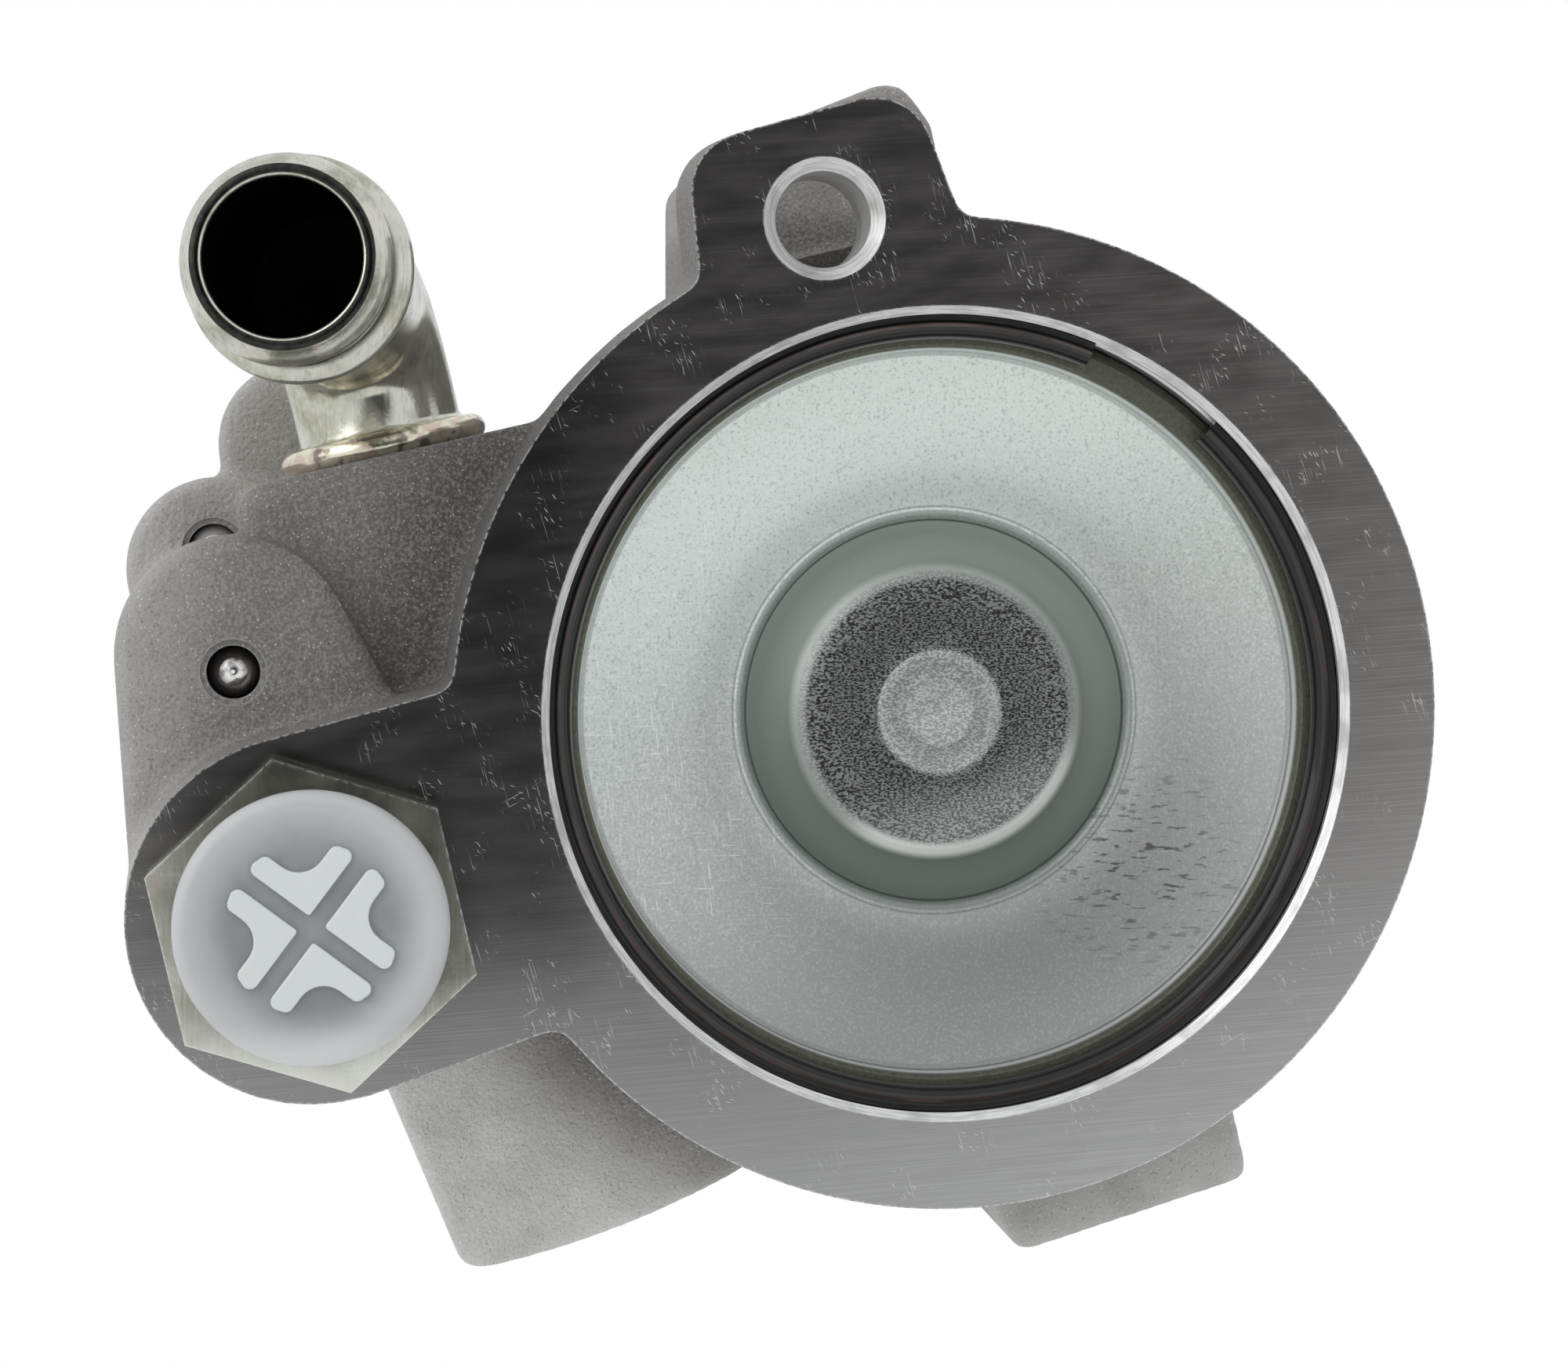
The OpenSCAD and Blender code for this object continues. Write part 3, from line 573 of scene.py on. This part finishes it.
def elbow_zinc():
    """The suction elbow: glossy olive tube, iridescent collar, dark mottled nose face, painted shade
    on the tube's right above the collar and in the grooves by the bead, and a bore painted black as
    shade.
    """
    f, tone, rough = yellow_zinc("yellow_zinc_elbow", (0.66, 0.66, 0.59), (0.40, 0.405, 0.31), 0.19)
    tone = f.mix(f.span(f.noise(1.1, 4), 0.46, 0.64, 0, 0.4), tone, (0.74, 0.74, 0.64))
    up = f.node("VectorMath", [f.mm, tuple(STAND @ LEG_DIR)], operation="DOT_PRODUCT")
    above = f.math("SUBTRACT", up.outputs["Value"], INLET_BASE.dot(LEG_DIR))
    collar = f.span(above, 3.4, 2.8)
    rainbow = f.mix(f.span(f.noise(2, 2), 0.4, 0.6), (0.84, 0.82, 0.64), (0.68, 0.57, 0.48))
    rainbow = f.mix(f.span(f.noise(1.8, 3), 0.54, 0.64, 0, 0.7), rainbow, (0.07, 0.066, 0.05))
    tone = f.mix(collar, tone, rainbow)
    shaded = f.times(f.span(f.x, -49, -45, 0, 0.6), f.span(above, 3, 4))
    tone = f.mix(shaded, tone, (0.15, 0.15, 0.115))
    along = (ELBOW_NOSE - ELBOW_CORNER).normalized()
    ahead = f.node("VectorMath", [f.mm, tuple(STAND @ along)], operation="DOT_PRODUCT")
    back = f.math("SUBTRACT", ELBOW_NOSE.dot(along), ahead.outputs["Value"])
    offset = f.vector("SUBTRACT", f.mm, tuple(STAND @ ELBOW_NOSE))
    off = f.vector("CROSS_PRODUCT", offset, tuple(STAND @ along))
    r = f.node("VectorMath", [off], operation="LENGTH").outputs["Value"]
    # A dark mottled ring on the nose's end face
    nose = f.span(back, 0.55, 0.3)
    dark_mottle = f.mix(f.noise(0.7, 3), (0.004, 0.004, 0.004), (0.07, 0.07, 0.06))
    tone = f.mix(f.times(nose, f.band(r, 7.25, 8.1, 0.05)), tone, dark_mottle)
    # Painted shade: dark rings in the grooves on each side of the bead
    bead_groove_shade = f.most(f.band(back, 8.2, 8.9, 0.2), f.band(back, 11.6, 12.3, 0.25))
    bead_groove_shade = f.times(bead_groove_shade, f.span(r, 10.6, 9.6, 0, 0.75))
    tone = f.mix(bead_groove_shade, tone, (0.05, 0.05, 0.035))
    # Painted shade: the bore inside the tube is painted black
    bore = f.times(f.span(r, 7.2, 7.1), f.span(back, 0.25, 0.5))
    bore = f.times(bore, f.span(back, 32, 26))
    tone = f.mix(bore, tone, (0.006, 0.006, 0.006))
    rough = f.math("ADD", rough, f.times(bore, 0.3))
    return f.done(tone, rough, f.bump(f.noise(0.4, 3), 0.012))


def steel(name, colour, roughness, bands=0.5):
    """Turned or ground steel: fine lines around the shaft's direction and faint clouds."""
    f = Finish(name, metallic=0.95)
    turning = f.noise(1, 3, f.stretch(0.4, 6, 0.4))
    light = tuple(min(1, c * 1.35) for c in colour)
    dark = tuple(c * 0.7 for c in colour)
    tone = f.mix(f.span(turning, 0.35, 0.65, 0, bands), colour, light)
    tone = f.mix(f.span(f.noise(4, 3), 0.45, 0.7, 0, 0.5), tone, dark)
    # Painted highlight: lighter edges
    tone = f.mix(f.times(f.edges(0.2), 0.5), tone, (0.85, 0.85, 0.84))
    normal = f.bump(turning, 0.006)
    return f.done(tone, f.span(turning, 0.3, 0.7, roughness * 0.8, roughness * 1.2), normal)


def plug_steel():
    """The ball plugs: a polished ball painted dark with a painted lamp reflection in its middle, and
    a duller ball above it.
    """
    f = Finish("plug_steel")
    first, second = (f.off_axis(x, y) for x, y, _ in BALL_SEATS)
    r = f.math("MINIMUM", first, second)
    # Painted reflection: a dark ball, bright in its middle
    tone = f.mix(f.span(r, 0.5, 1.5), (0.9, 0.88, 0.86), (0.15, 0.13, 0.125))
    tone = f.mix(f.span(f.noise(0.8, 3), 0.45, 0.65, 0, 0.5), tone, (0.08, 0.07, 0.066))
    upper = f.span(f.z, 9, 11)
    tone = f.mix(upper, tone, (0.66, 0.64, 0.62))
    f.feed(f.surface.inputs["Metallic"], f.span(upper, 0, 1, 1, 0.35))
    return f.done(tone, f.span(r, 0.5, 2, 0.16, 0.08))


def oiled_steel():
    """Black oiled spring steel: glossy, with one brown draw line."""
    f = Finish("oiled_steel", metallic=0.6, coat=0.4)
    f.surface.inputs["Coat Roughness"].default_value = 0.1
    r = f.off_axis(0, 0)
    across = f.node("CombineXYZ", [f.times(r, 2), f.times(f.y, 2), 0])
    lines = f.noise(1, 2, across.outputs[0])
    tone = f.mix(f.span(lines, 0.5, 0.62), (0.008, 0.008, 0.008), (0.035, 0.031, 0.028))
    patchy = f.span(f.noise(6, 2), 0.4, 0.6, 0.2, 0.9)
    brown = f.times(f.band(r, RING_R - 0.35, RING_R - 0.1, 0.1), patchy)
    tone = f.mix(brown, tone, (0.12, 0.088, 0.078))
    return f.done(tone, f.span(lines, 0.3, 0.7, 0.16, 0.28), f.bump(lines, 0.008))


def rubber():
    """Black seal rubber, with a faint grey bloom."""
    f = Finish("black_rubber")
    bloom = f.noise(1.6, 4)
    tone = f.mix(f.span(bloom, 0.4, 0.75), (0.012, 0.012, 0.012), (0.045, 0.045, 0.043))
    return f.done(tone, f.span(bloom, 0.3, 0.7, 0.4, 0.65), f.bump(f.noise(0.3, 3), 0.02))


def bronze():
    """Sintered bronze, with small open pores."""
    f = Finish("bronze", metallic=0.9)
    pores = f.span(f.cells(0.5), 0.2, 0.08)
    warm = f.mix(f.noise(2.5, 3), (0.55, 0.36, 0.18), (0.74, 0.52, 0.30))
    tone = f.mix(f.times(pores, 0.7), warm, (0.14, 0.09, 0.05))
    return f.done(tone, f.span(pores, 0, 1, 0.34, 0.6), f.bump(pores, -0.02))


def transit_plastic(name, inner, outer):
    """Soft white polyethylene, painted darker towards its thin middle as the shade of the dark
    hollow below, lighter at its lower edge as painted light, with painted highlights on its edges.
    """
    f = Finish(name, subsurface=0.15)
    cloud = f.noise(3, 3)
    # Painted shade: darker towards the middle, where the dark hollow below shows through
    tone = f.mix(f.span(f.off_axis(*VALVE), 6.5, 11.6), inner, outer)
    tone = f.mix(f.span(cloud, 0.35, 0.7, 0, 0.12), tone, (0.62, 0.65, 0.67))
    # Painted light: lighter at the lower edge
    tone = f.mix(f.span(f.z, VALVE[1] - 8, VALVE[1] - 12.5, 0, 0.4), tone, (0.92, 0.94, 0.94))
    # Painted highlight: lighter edges
    tone = f.mix(f.times(f.edges(0.25), 0.3), tone, (0.80, 0.82, 0.83))
    return f.done(tone, f.span(cloud, 0.3, 0.7, 0.34, 0.46), f.bump(f.noise(0.8, 2), 0.01))


# ---- camera and light

def make_camera():
    """Looks at the rear face from the upper left, a little way down and to the right."""
    data = bpy.data.cameras.new("camera")
    data.sensor_width = 36
    data.lens = 87
    data.clip_start = 0.01
    camera = bpy.data.objects.new("camera", data)
    bpy.context.scene.collection.objects.link(camera)
    camera.location = Vector((-56, -REAR - 350, 18)) * MM
    aim = Vector((-15.7, -REAR, 3.2)) * MM
    camera.rotation_euler = (aim - camera.location).to_track_quat("-Z", "Y").to_euler()
    bpy.context.scene.camera = camera


def make_world():
    """A white tent with a soft dark opening, which the machined face mirrors."""
    world = bpy.data.worlds.new("studio")
    bpy.context.scene.world = world
    world.use_nodes = True
    tree = world.node_tree
    tent = tree.nodes["Background"]

    def link(source, socket):
        tree.links.new(source, socket)

    def across(operation, a, b):
        made = tree.nodes.new("ShaderNodeVectorMath")
        made.operation = operation
        link(a, made.inputs[0])
        made.inputs[1].default_value = b
        return made.outputs[0]

    way = tree.nodes.new("ShaderNodeTexCoord").outputs["Generated"]
    middle = across("SUBTRACT", way, (0.04, -1, 0.1))
    stretched = across("MULTIPLY", middle, (1 / 0.36, 1.2, 1 / 0.3))
    distance = tree.nodes.new("ShaderNodeVectorMath")
    distance.operation = "LENGTH"
    link(stretched, distance.inputs[0])
    opening = tree.nodes.new("ShaderNodeMapRange")
    opening.interpolation_type = "SMOOTHSTEP"
    link(distance.outputs["Value"], opening.inputs[0])
    inner, outer, dark, bright = 0.5, 1.35, 0.025, 0.88
    for socket, value in zip(opening.inputs[1:5], (inner, outer, dark, bright)):
        socket.default_value = value
    link(opening.outputs[0], tent.inputs["Strength"])
    tent.inputs["Color"].default_value = (0.97, 0.985, 1, 1)
    seen = tree.nodes.new("ShaderNodeBackground")
    seen.inputs["Color"].default_value = (1, 1, 1, 1)
    mix = tree.nodes.new("ShaderNodeMixShader")
    link(tree.nodes.new("ShaderNodeLightPath").outputs["Is Camera Ray"], mix.inputs[0])
    link(tent.outputs[0], mix.inputs[1])
    link(seen.outputs[0], mix.inputs[2])
    link(mix.outputs[0], tree.nodes["World Output"].inputs["Surface"])


def add_softbox(name, place, size, power):
    """A square light, in metres and watts, that shines at the pump."""
    data = bpy.data.lights.new(name, "AREA")
    data.size = size
    data.energy = power
    lamp = bpy.data.objects.new(name, data)
    bpy.context.scene.collection.objects.link(lamp)
    lamp.location = place
    lamp.rotation_euler = (-Vector(place)).to_track_quat("-Z", "Y").to_euler()


def make_floor():
    """A pale floor below the pump, out of the camera's view."""
    mesh = bpy.data.meshes.new("floor")
    half, drop = 0.75, -0.32
    corners = [(-half, -half, drop), (half, -half, drop), (half, half, drop), (-half, half, drop)]
    mesh.from_pydata(corners, [], [[0, 1, 2, 3]])
    floor = add_object("floor", mesh)
    f = Finish("floor")
    tone = f.mix(f.noise(60, 2), (0.80, 0.80, 0.79), (0.86, 0.86, 0.85))
    mesh.materials.append(f.done(tone, 0.7))


# ---- pump housing

def inlet_place():
    """Puts a shape drawn along z on the inlet block's top, pointing up the leg."""
    turn = Matrix.Rotation(INLET_TILT, 4, "Z") @ Matrix.Rotation(math.radians(-90), 4, "X")
    return STAND @ Matrix.Translation(INLET_BASE) @ turn


def rod(name, r, z0, z1, centre=(0, 0), place=STAND, steps=96):
    """A round bar of radius r, from height z0 to z1."""
    return lathe(name, [(0, z0), (r, z0), (r, z1), (0, z1)], centre, place, steps)


def bore_plugs():
    """Fills every bore of the casting, and reaches past its machined faces."""
    past = REAR + 2
    neck = PILOT_R + 0.6
    front = PILOT_TOP - 2
    step = 8
    wide = BORE_R + 4
    drum = [(0, front), (neck, front), (neck, step), (wide, step), (wide, past), (0, past)]
    plugs = [
        lathe("plug", drum),
        rod("plug", 13.5, 9, past, VALVE),
        rod("plug", 6.2, FLANGE + 0.05, past, EAR_HOLE),
        rod("plug", 9.6, -13, -0.02, place=inlet_place()),
    ]
    plugs += [rod("plug", 3.4, top - 9, top - 0.02, (x, y)) for x, y, top in BALL_SEATS]
    for x, y, sink, depth in THREADS:
        plugs.append(rod("plug", THREAD_R + sink + 0.3, -1, depth + 1, (x, y)))
    return plugs


def raw_casting():
    """The CAD casting, with its machined faces left too long for the cutters to take off."""
    mesh = NODES["pump_housing"].data.copy()
    work = bmesh.new()
    work.from_mesh(mesh)
    bmesh.ops.remove_doubles(work, verts=work.verts, dist=0.002 * MM)
    near = 0.05 * MM
    for v in work.verts:
        if v.co.y < near - REAR * MM:
            v.co.y -= 3 * MM
        elif abs(v.co.y) < near:
            v.co.y += 2 * MM
    work.to_mesh(mesh)
    work.free()
    return add_object("raw_casting", mesh)


def soften(obj, voxel, passes):
    """Rounds every edge and corner, as sand casting does."""
    remesh = obj.modifiers.new("remesh", "REMESH")
    remesh.mode = "VOXEL"
    remesh.voxel_size = voxel * MM
    relax = obj.modifiers.new("relax", "SMOOTH")
    relax.factor = 0.5
    relax.iterations = passes
    apply_modifiers(obj)


def draft_flange(obj, degrees):
    """Widens the flange away from its rear face, so that it would leave the mould."""
    mesh = obj.data
    count = len(mesh.vertices)
    points = np.empty(count * 3, np.float32)
    mesh.vertices.foreach_get("co", points)
    points = points.reshape(-1, 3)
    normals = np.empty(count * 3, np.float32)
    mesh.vertex_normals.foreach_get("vector", normals)
    normals = normals.reshape(-1, 3)
    depth = np.clip(points[:, 1] + REAR * MM, 0, (REAR - FLANGE) * MM)
    on_flange = points[:, 1] < (0.6 - FLANGE) * MM
    side = np.clip(1.5 - 2 * np.abs(normals[:, 1]), 0, 1)
    out = math.tan(math.radians(degrees)) * depth * on_flange * side
    points[:, 0] += normals[:, 0] * out
    points[:, 2] += normals[:, 2] * out
    mesh.vertices.foreach_set("co", points.ravel())
    mesh.update()


def machining():
    """Everything that is cut from the raw casting, each as a closed solid."""
    far = REAR + 8
    wide = 120
    facing = [(0, REAR), (wide, REAR), (wide, far), (0, far)]
    chamfer = 0.75
    groove = arc(RING_R, RING_Z, RING_WIRE + 0.08, 58, -59, -8)
    seal = COVER_RIM - 4.7
    seal_r = BORE_R + 2.6
    bore = [
        (0, far), (BORE_R + 1, far), (BORE_R + 1, REAR + 0.25), (BORE_R, REAR - chamfer), *groove,
        (BORE_R, seal + 1.6), (seal_r, seal + 1.6), (seal_r, seal - 1.6), (BORE_R, seal - 1.6),
        (BORE_R, PUMP_FLOOR), (SHAFT_BORE_R, PUMP_FLOOR), (SHAFT_BORE_R, SEAL_TOP),
        (SEAL_R, SEAL_TOP), (SEAL_R, BEARING_TOP), (BEARING_R, BEARING_TOP),
        (BEARING_R, CIRCLIP[1]), (CIRCLIP_R, CIRCLIP[1]), (CIRCLIP_R, CIRCLIP[0]),
        (BEARING_R, CIRCLIP[0]), (BEARING_R, PILOT_TOP - 4), (0, PILOT_TOP - 4),
    ]
    below = PILOT_TOP - 6
    front = [(PILOT_R, 0), (wide, 0), (wide, below), (0, below), (0, PILOT_TOP),
             (PILOT_R - 1, PILOT_TOP), (PILOT_R, PILOT_TOP + 1)]
    valve = [(0, far), (13.1, far), (13.1, REAR + 0.3), (11.8, REAR - 1.2), (11.8, REAR - 2),
             (11, REAR - 2), (11, REAR - 17), (8, REAR - 17), (8, 10), (0, 10)]
    flare = EAR_HOLE_R + 1.4
    ear = [(0, far), (flare, far), (flare, REAR + 0.2), (EAR_HOLE_R, REAR - 1.2),
           (EAR_HOLE_R, FLANGE + 0.8), (EAR_HOLE_R + 2, FLANGE - 1.2), (0, FLANGE - 1.2)]
    yield lathe("cutter", facing)
    yield lathe("cutter", bore, steps=288)
    yield lathe("cutter", front)
    yield lathe("cutter", valve, VALVE)
    yield lathe("cutter", ear, EAR_HOLE, steps=96)
    for x, y, top in BALL_SEATS:
        seat = [(0, top + 3), (3.1, top + 3), (3.1, top - 0.3), (2.52, top - 0.4), (2.52, top - 8),
                (0, top - 8)]
        yield lathe("cutter", seat, (x, y), steps=64)
    for x, y, sink, depth in THREADS:
        mouth = THREAD_R + sink + 1
        thread = [(0, -1), (mouth, -1), (THREAD_R, sink), (THREAD_R, depth), (0, depth)]
        yield lathe("cutter", thread, (x, y), steps=48)
    pocket = [(0, 2), (TUBE_R + 1.4, 2), (TUBE_R + 1.4, -2.4), (TUBE_R, -2.4), (TUBE_R, -12.3),
              (0, -12.3)]
    yield lathe("cutter", pocket, place=inlet_place(), steps=96)


def surface_kind(centre, normal):
    """Whether a face of the housing is cast, milled or bored, from its centre on the bench."""
    x, y, z = centre
    if z > REAR - 0.02 or z < 0.02 and abs(normal.z) > 0.9:
        return MILLED
    r = math.hypot(x, y)
    in_bore = r < BORE_R + 3 and z > PUMP_FLOOR - 0.5
    on_pilot = r < PILOT_R + 1 and z < 0.02
    if in_bore or on_pilot or r < CIRCLIP_R + 0.5:
        return BORED
    holes = [(VALVE, 13.3, 9.9, REAR), (EAR_HOLE, 6, FLANGE + 0.1, REAR)]
    holes += [((u, v), 2.6, top - 9, top + 1) for u, v, top in BALL_SEATS]
    holes += [((u, v), THREAD_R + sink + 0.1, -1, depth + 0.1) for u, v, sink, depth in THREADS]
    for middle, reach, low, high in holes:
        if math.hypot(x - middle[0], y - middle[1]) < reach and low < z < high:
            return BORED
    return CAST


def make_housing(*finishes):
    """The housing as one piece, with a finish for its cast, milled and bored faces in turn."""
    body = join("housing_casting", [raw_casting(), *bore_plugs()])
    soften(body, voxel=0.6, passes=9)
    draft_flange(body, degrees=3)
    for cutter in machining():
        cut(body, cutter)
    mesh = body.data
    mesh.materials.clear()
    for finish in finishes:
        mesh.materials.append(finish)
    back = STAND.inverted()
    for face in mesh.polygons:
        face.material_index = surface_kind(back @ face.center / MM, back @ face.normal)
    smooth(body, 35)
    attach(body, "housing")
    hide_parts("pump_housing")


# ---- cover, elbow, cap

def make_cover(material):
    """The stamped cover: raised rim, shallow cone, rolled lip and a domed middle."""
    dome = REAR - 6.7
    rim = COVER_RIM
    outer = [
        (0, dome + 0.16), (0.3, dome + 0.14), (0.6, dome + 0.02), (3.0, dome), (3.3, dome - 0.07),
        (3.6, dome), (5.5, dome - 0.02), (5.9, dome - 0.22), (6.3, dome - 0.06), (8.5, dome - 0.2),
        (10.6, dome - 0.5), (11.8, dome - 0.8), (12.7, dome - 1.15), (13.4, dome - 1.6),
        (14.05, dome - 2.15), (14.8, dome - 2.55),
        (16.5, dome - 3.1), (18.1, dome - 3.3), (18.35, dome - 3.2), (18.5, dome - 2.75),
        (18.95, dome - 2.45), (19.4, dome - 2.55), (19.8, dome - 2.72), (24, dome - 2.1),
        (34.0, dome - 0.85), (34.3, dome - 0.6),
        (34.5, rim - 1.2), (34.65, rim - 0.3), (34.9, rim), (36.5, rim), (37.4, rim - 1),
        (37.4, rim - 7.5), (36.9, rim - 8),
    ]
    inner = [(18.8, dome - 6.6), (14.05, dome - 5.4), (0, dome - 4)]
    cover = lathe("cover_stamping", outer + inner, steps=288)
    smooth(cover, 40)
    piece(cover, "housing", "zinc_plate", material, "end_cover")


def elbow_line():
    """The elbow's centreline as a function from distance along it to a point and a direction."""
    along = (ELBOW_NOSE - ELBOW_CORNER).normalized()
    side = LEG_DIR.cross(along).normalized()
    turn = LEG_DIR.angle(along)
    tangent = BEND_R * math.tan(turn / 2)
    straight = LEG - tangent
    bend = BEND_R * turn
    centre = ELBOW_CORNER - LEG_DIR * tangent + side.cross(LEG_DIR) * BEND_R

    def at(s):
        if s <= straight:
            return INLET_BASE + LEG_DIR * s, LEG_DIR
        if s < straight + bend:
            spin = Matrix.Rotation((s - straight) / BEND_R, 3, side)
            return centre + spin @ (side.cross(LEG_DIR) * -BEND_R), spin @ LEG_DIR
        return ELBOW_CORNER + along * (tangent + s - straight - bend), along

    total = straight + bend + (ELBOW_NOSE - ELBOW_CORNER).length - tangent
    return at, side, straight, bend, total


def make_elbow(material):
    """A bent tube with a rolled base collar, a hose bead and a rolled nose."""
    at, side, straight, bend, total = elbow_line()
    collar = arc(TUBE_R + 0.9, 1.65, 1.3, -90, 111, 15)
    bead_at = total - 10.3
    bead = arc(9.05, bead_at, 1.2, -95, 96, 15)
    curve = [straight + bend * i / 24 for i in range(25)]
    outside = [(TUBE_R, -12), (TUBE_R, 0.35), *collar, (TUBE_R + 0.15, 3.1), (TUBE_R, 3.5)]
    outside += [(TUBE_R, s) for s in curve]
    outside += [(TUBE_R, bead_at - 2.6), (TUBE_R + 0.3, bead_at - 1.8), *bead, (8.8, bead_at + 1.5),
                (8.5, bead_at + 1.9), (8.5, total - 3.9), (8.8, total - 3.4), (9.2, total - 3.0),
                (9.3, total - 2.5), (9.2, total - 2.0), (8.7, total - 1.2), (8.2, total - 0.45),
                (8.05, total - 0.1), (7.95, total)]
    inside = [(TUBE_BORE_R + 0.2, total), (TUBE_BORE_R, total - 0.2),
              *[(TUBE_BORE_R, s) for s in reversed(curve)], (TUBE_BORE_R, -12)]
    steps = 96
    points, rings = [], []
    for r, s in outside + inside:
        centre, ahead = at(s)
        across = side.cross(ahead)
        rings.append(list(range(len(points), len(points) + steps)))
        for i in range(steps):
            a = 2 * math.pi * i / steps
            points.append(centre + r * (math.cos(a) * side + math.sin(a) * across))
    elbow = solid("suction_elbow", points, skin(rings))
    smooth(elbow, 50)
    piece(elbow, "housing", "yellow_zinc", material, "inlet_elbow")


def make_cap(shell_plastic, rib_plastic):
    """The push-in transit cap: soft rim, dished thin floor, four bent ribs and a hollow stem."""
    base = UNION_TOP + 0.1
    shell = [
        (0, base + 1.6), (5, base + 1.62), (7.5, base + 1.7), (8.8, base + 1.85), (9.8, base + 2.1),
        (10.6, base + 2.4), (11.2, base + 2.55), (11.7, base + 2.5), (12.15, base + 2.15),
        (12.42, base + 1.6), (12.5, base + 0.9), (12.4, base + 0.35), (12.1, base + 0.05),
        (11.6, base), (7.15, base), (6.9, base - 0.6), (6.7, base - 11), (5.6, base - 11),
        (5.6, base + 0.6), (0, base + 0.6),
    ]
    cap = lathe("cap_shell", shell, VALVE)
    smooth(cap, 40)
    piece(cap, "transit_cap", "translucent_plastic", shell_plastic, "outlet_transit_cap")
    near, wide, far = 0.85, 2.1, 8.0
    rib = rounded_outline([
        (near, near, 0.3), (far, near, 0.75), (far - 0.7, near + wide, 0.75),
        (near + wide, near + wide, 2.5), (near + wide, far - 0.7, 0.75), (near, far, 0.75),
    ])
    for q in range(4):
        made = prism(f"cap_rib_{q + 1}", rib, base + 1.5, base + 2.2, VALVE, 53 + 90 * q)
        bevel(made, 0.14, 3)
        smooth(made, 40)
        piece(made, "transit_cap", "translucent_plastic", rib_plastic)


# ---- CAD nodes that stay

def dress(name, material, edge=0.0):
    """A CAD node keeps its shape, and gets broken edges, smooth shading and a material."""
    node = NODES[name]
    weld = node.modifiers.new("weld", "WELD")
    weld.merge_threshold = 0.001 * MM
    if edge:
        bevel(node, edge, 2, 35)
    soft = node.modifiers.new("smooth", "NODES")
    soft.node_group = smooth_by_angle()
    node.data.materials.clear()
    node.data.materials.append(material)


def smooth_by_angle():
    """One shared modifier that shades smooth, except across edges over 35 degrees."""
    if "smooth_by_angle" in bpy.data.node_groups:
        return bpy.data.node_groups["smooth_by_angle"]
    group = bpy.data.node_groups.new("smooth_by_angle", "GeometryNodeTree")
    group.interface.new_socket("Geometry", in_out="INPUT", socket_type="NodeSocketGeometry")
    group.interface.new_socket("Geometry", in_out="OUTPUT", socket_type="NodeSocketGeometry")
    start = group.nodes.new("NodeGroupInput")
    end = group.nodes.new("NodeGroupOutput")
    faces = group.nodes.new("GeometryNodeSetShadeSmooth")
    faces.domain = "FACE"
    edges = group.nodes.new("GeometryNodeSetShadeSmooth")
    edges.domain = "EDGE"
    angle = group.nodes.new("GeometryNodeInputMeshEdgeAngle")
    sharp = group.nodes.new("FunctionNodeCompare")
    sharp.operation = "LESS_THAN"
    sharp.inputs[1].default_value = math.radians(35)
    group.links.new(angle.outputs["Unsigned Angle"], sharp.inputs[0])
    group.links.new(sharp.outputs[0], edges.inputs["Shade Smooth"])
    group.links.new(start.outputs[0], faces.inputs["Geometry"])
    group.links.new(faces.outputs[0], edges.inputs["Geometry"])
    group.links.new(edges.outputs[0], end.inputs[0])
    return group


def dress_nodes(slots, plug_finish):
    """Gives every CAD node the finish of its material slot, and its machined edges a break."""
    edges = {"hardened_steel": 0.12, "machined_steel": 0.2, "bronze": 0.15, "polished_steel": 0.15}
    for part in frame["record"]["subparts"]:
        name, slot = part["node"], part["material_slot"]
        if name not in NODES:
            continue
        edge = 0 if name in ("bearing_balls", "relief_ball") else edges.get(slot, 0)
        if name.startswith("passage_ball"):
            dress(name, plug_finish)
        else:
            dress(name, slots[slot], 0.3 if name == "outlet_union" else edge)


make_camera()
make_world()
make_floor()
add_softbox("softbox_left", (-1.1, -0.6, 0.7), 1.2, 5)
add_softbox("softbox_low", (0.1, -0.9, -1.1), 1.2, 8)

cast = cast_aluminium()
machined = machined_aluminium()
zinc = zinc_plate()
SLOTS = {
    "cast_aluminium": cast,
    "zinc_plate": zinc,
    "yellow_zinc": union_zinc(),
    "oiled_steel": oiled_steel(),
    "hardened_steel": steel("hardened_steel", (0.32, 0.32, 0.33), 0.28),
    "polished_steel": steel("polished_steel", (0.56, 0.56, 0.58), 0.06, 0.1),
    "machined_steel": steel("machined_steel", (0.56, 0.56, 0.58), 0.26),
    "spring_steel": steel("spring_steel", (0.36, 0.36, 0.37), 0.3),
    "black_rubber": rubber(),
    "bronze": bronze(),
    "translucent_plastic": transit_plastic("cap_plastic", (0.28, 0.285, 0.29), (0.54, 0.555, 0.56)),
}
dress_nodes(SLOTS, plug_steel())
make_housing(cast, machined, turned_aluminium())
make_cover(zinc)
make_elbow(elbow_zinc())
make_cap(
    SLOTS["translucent_plastic"],
    transit_plastic("cap_rib_plastic", (0.76, 0.77, 0.77), (0.70, 0.72, 0.72)),
)

scene = bpy.context.scene
scene.view_settings.view_transform = "Standard"
scene.view_settings.look = "None"
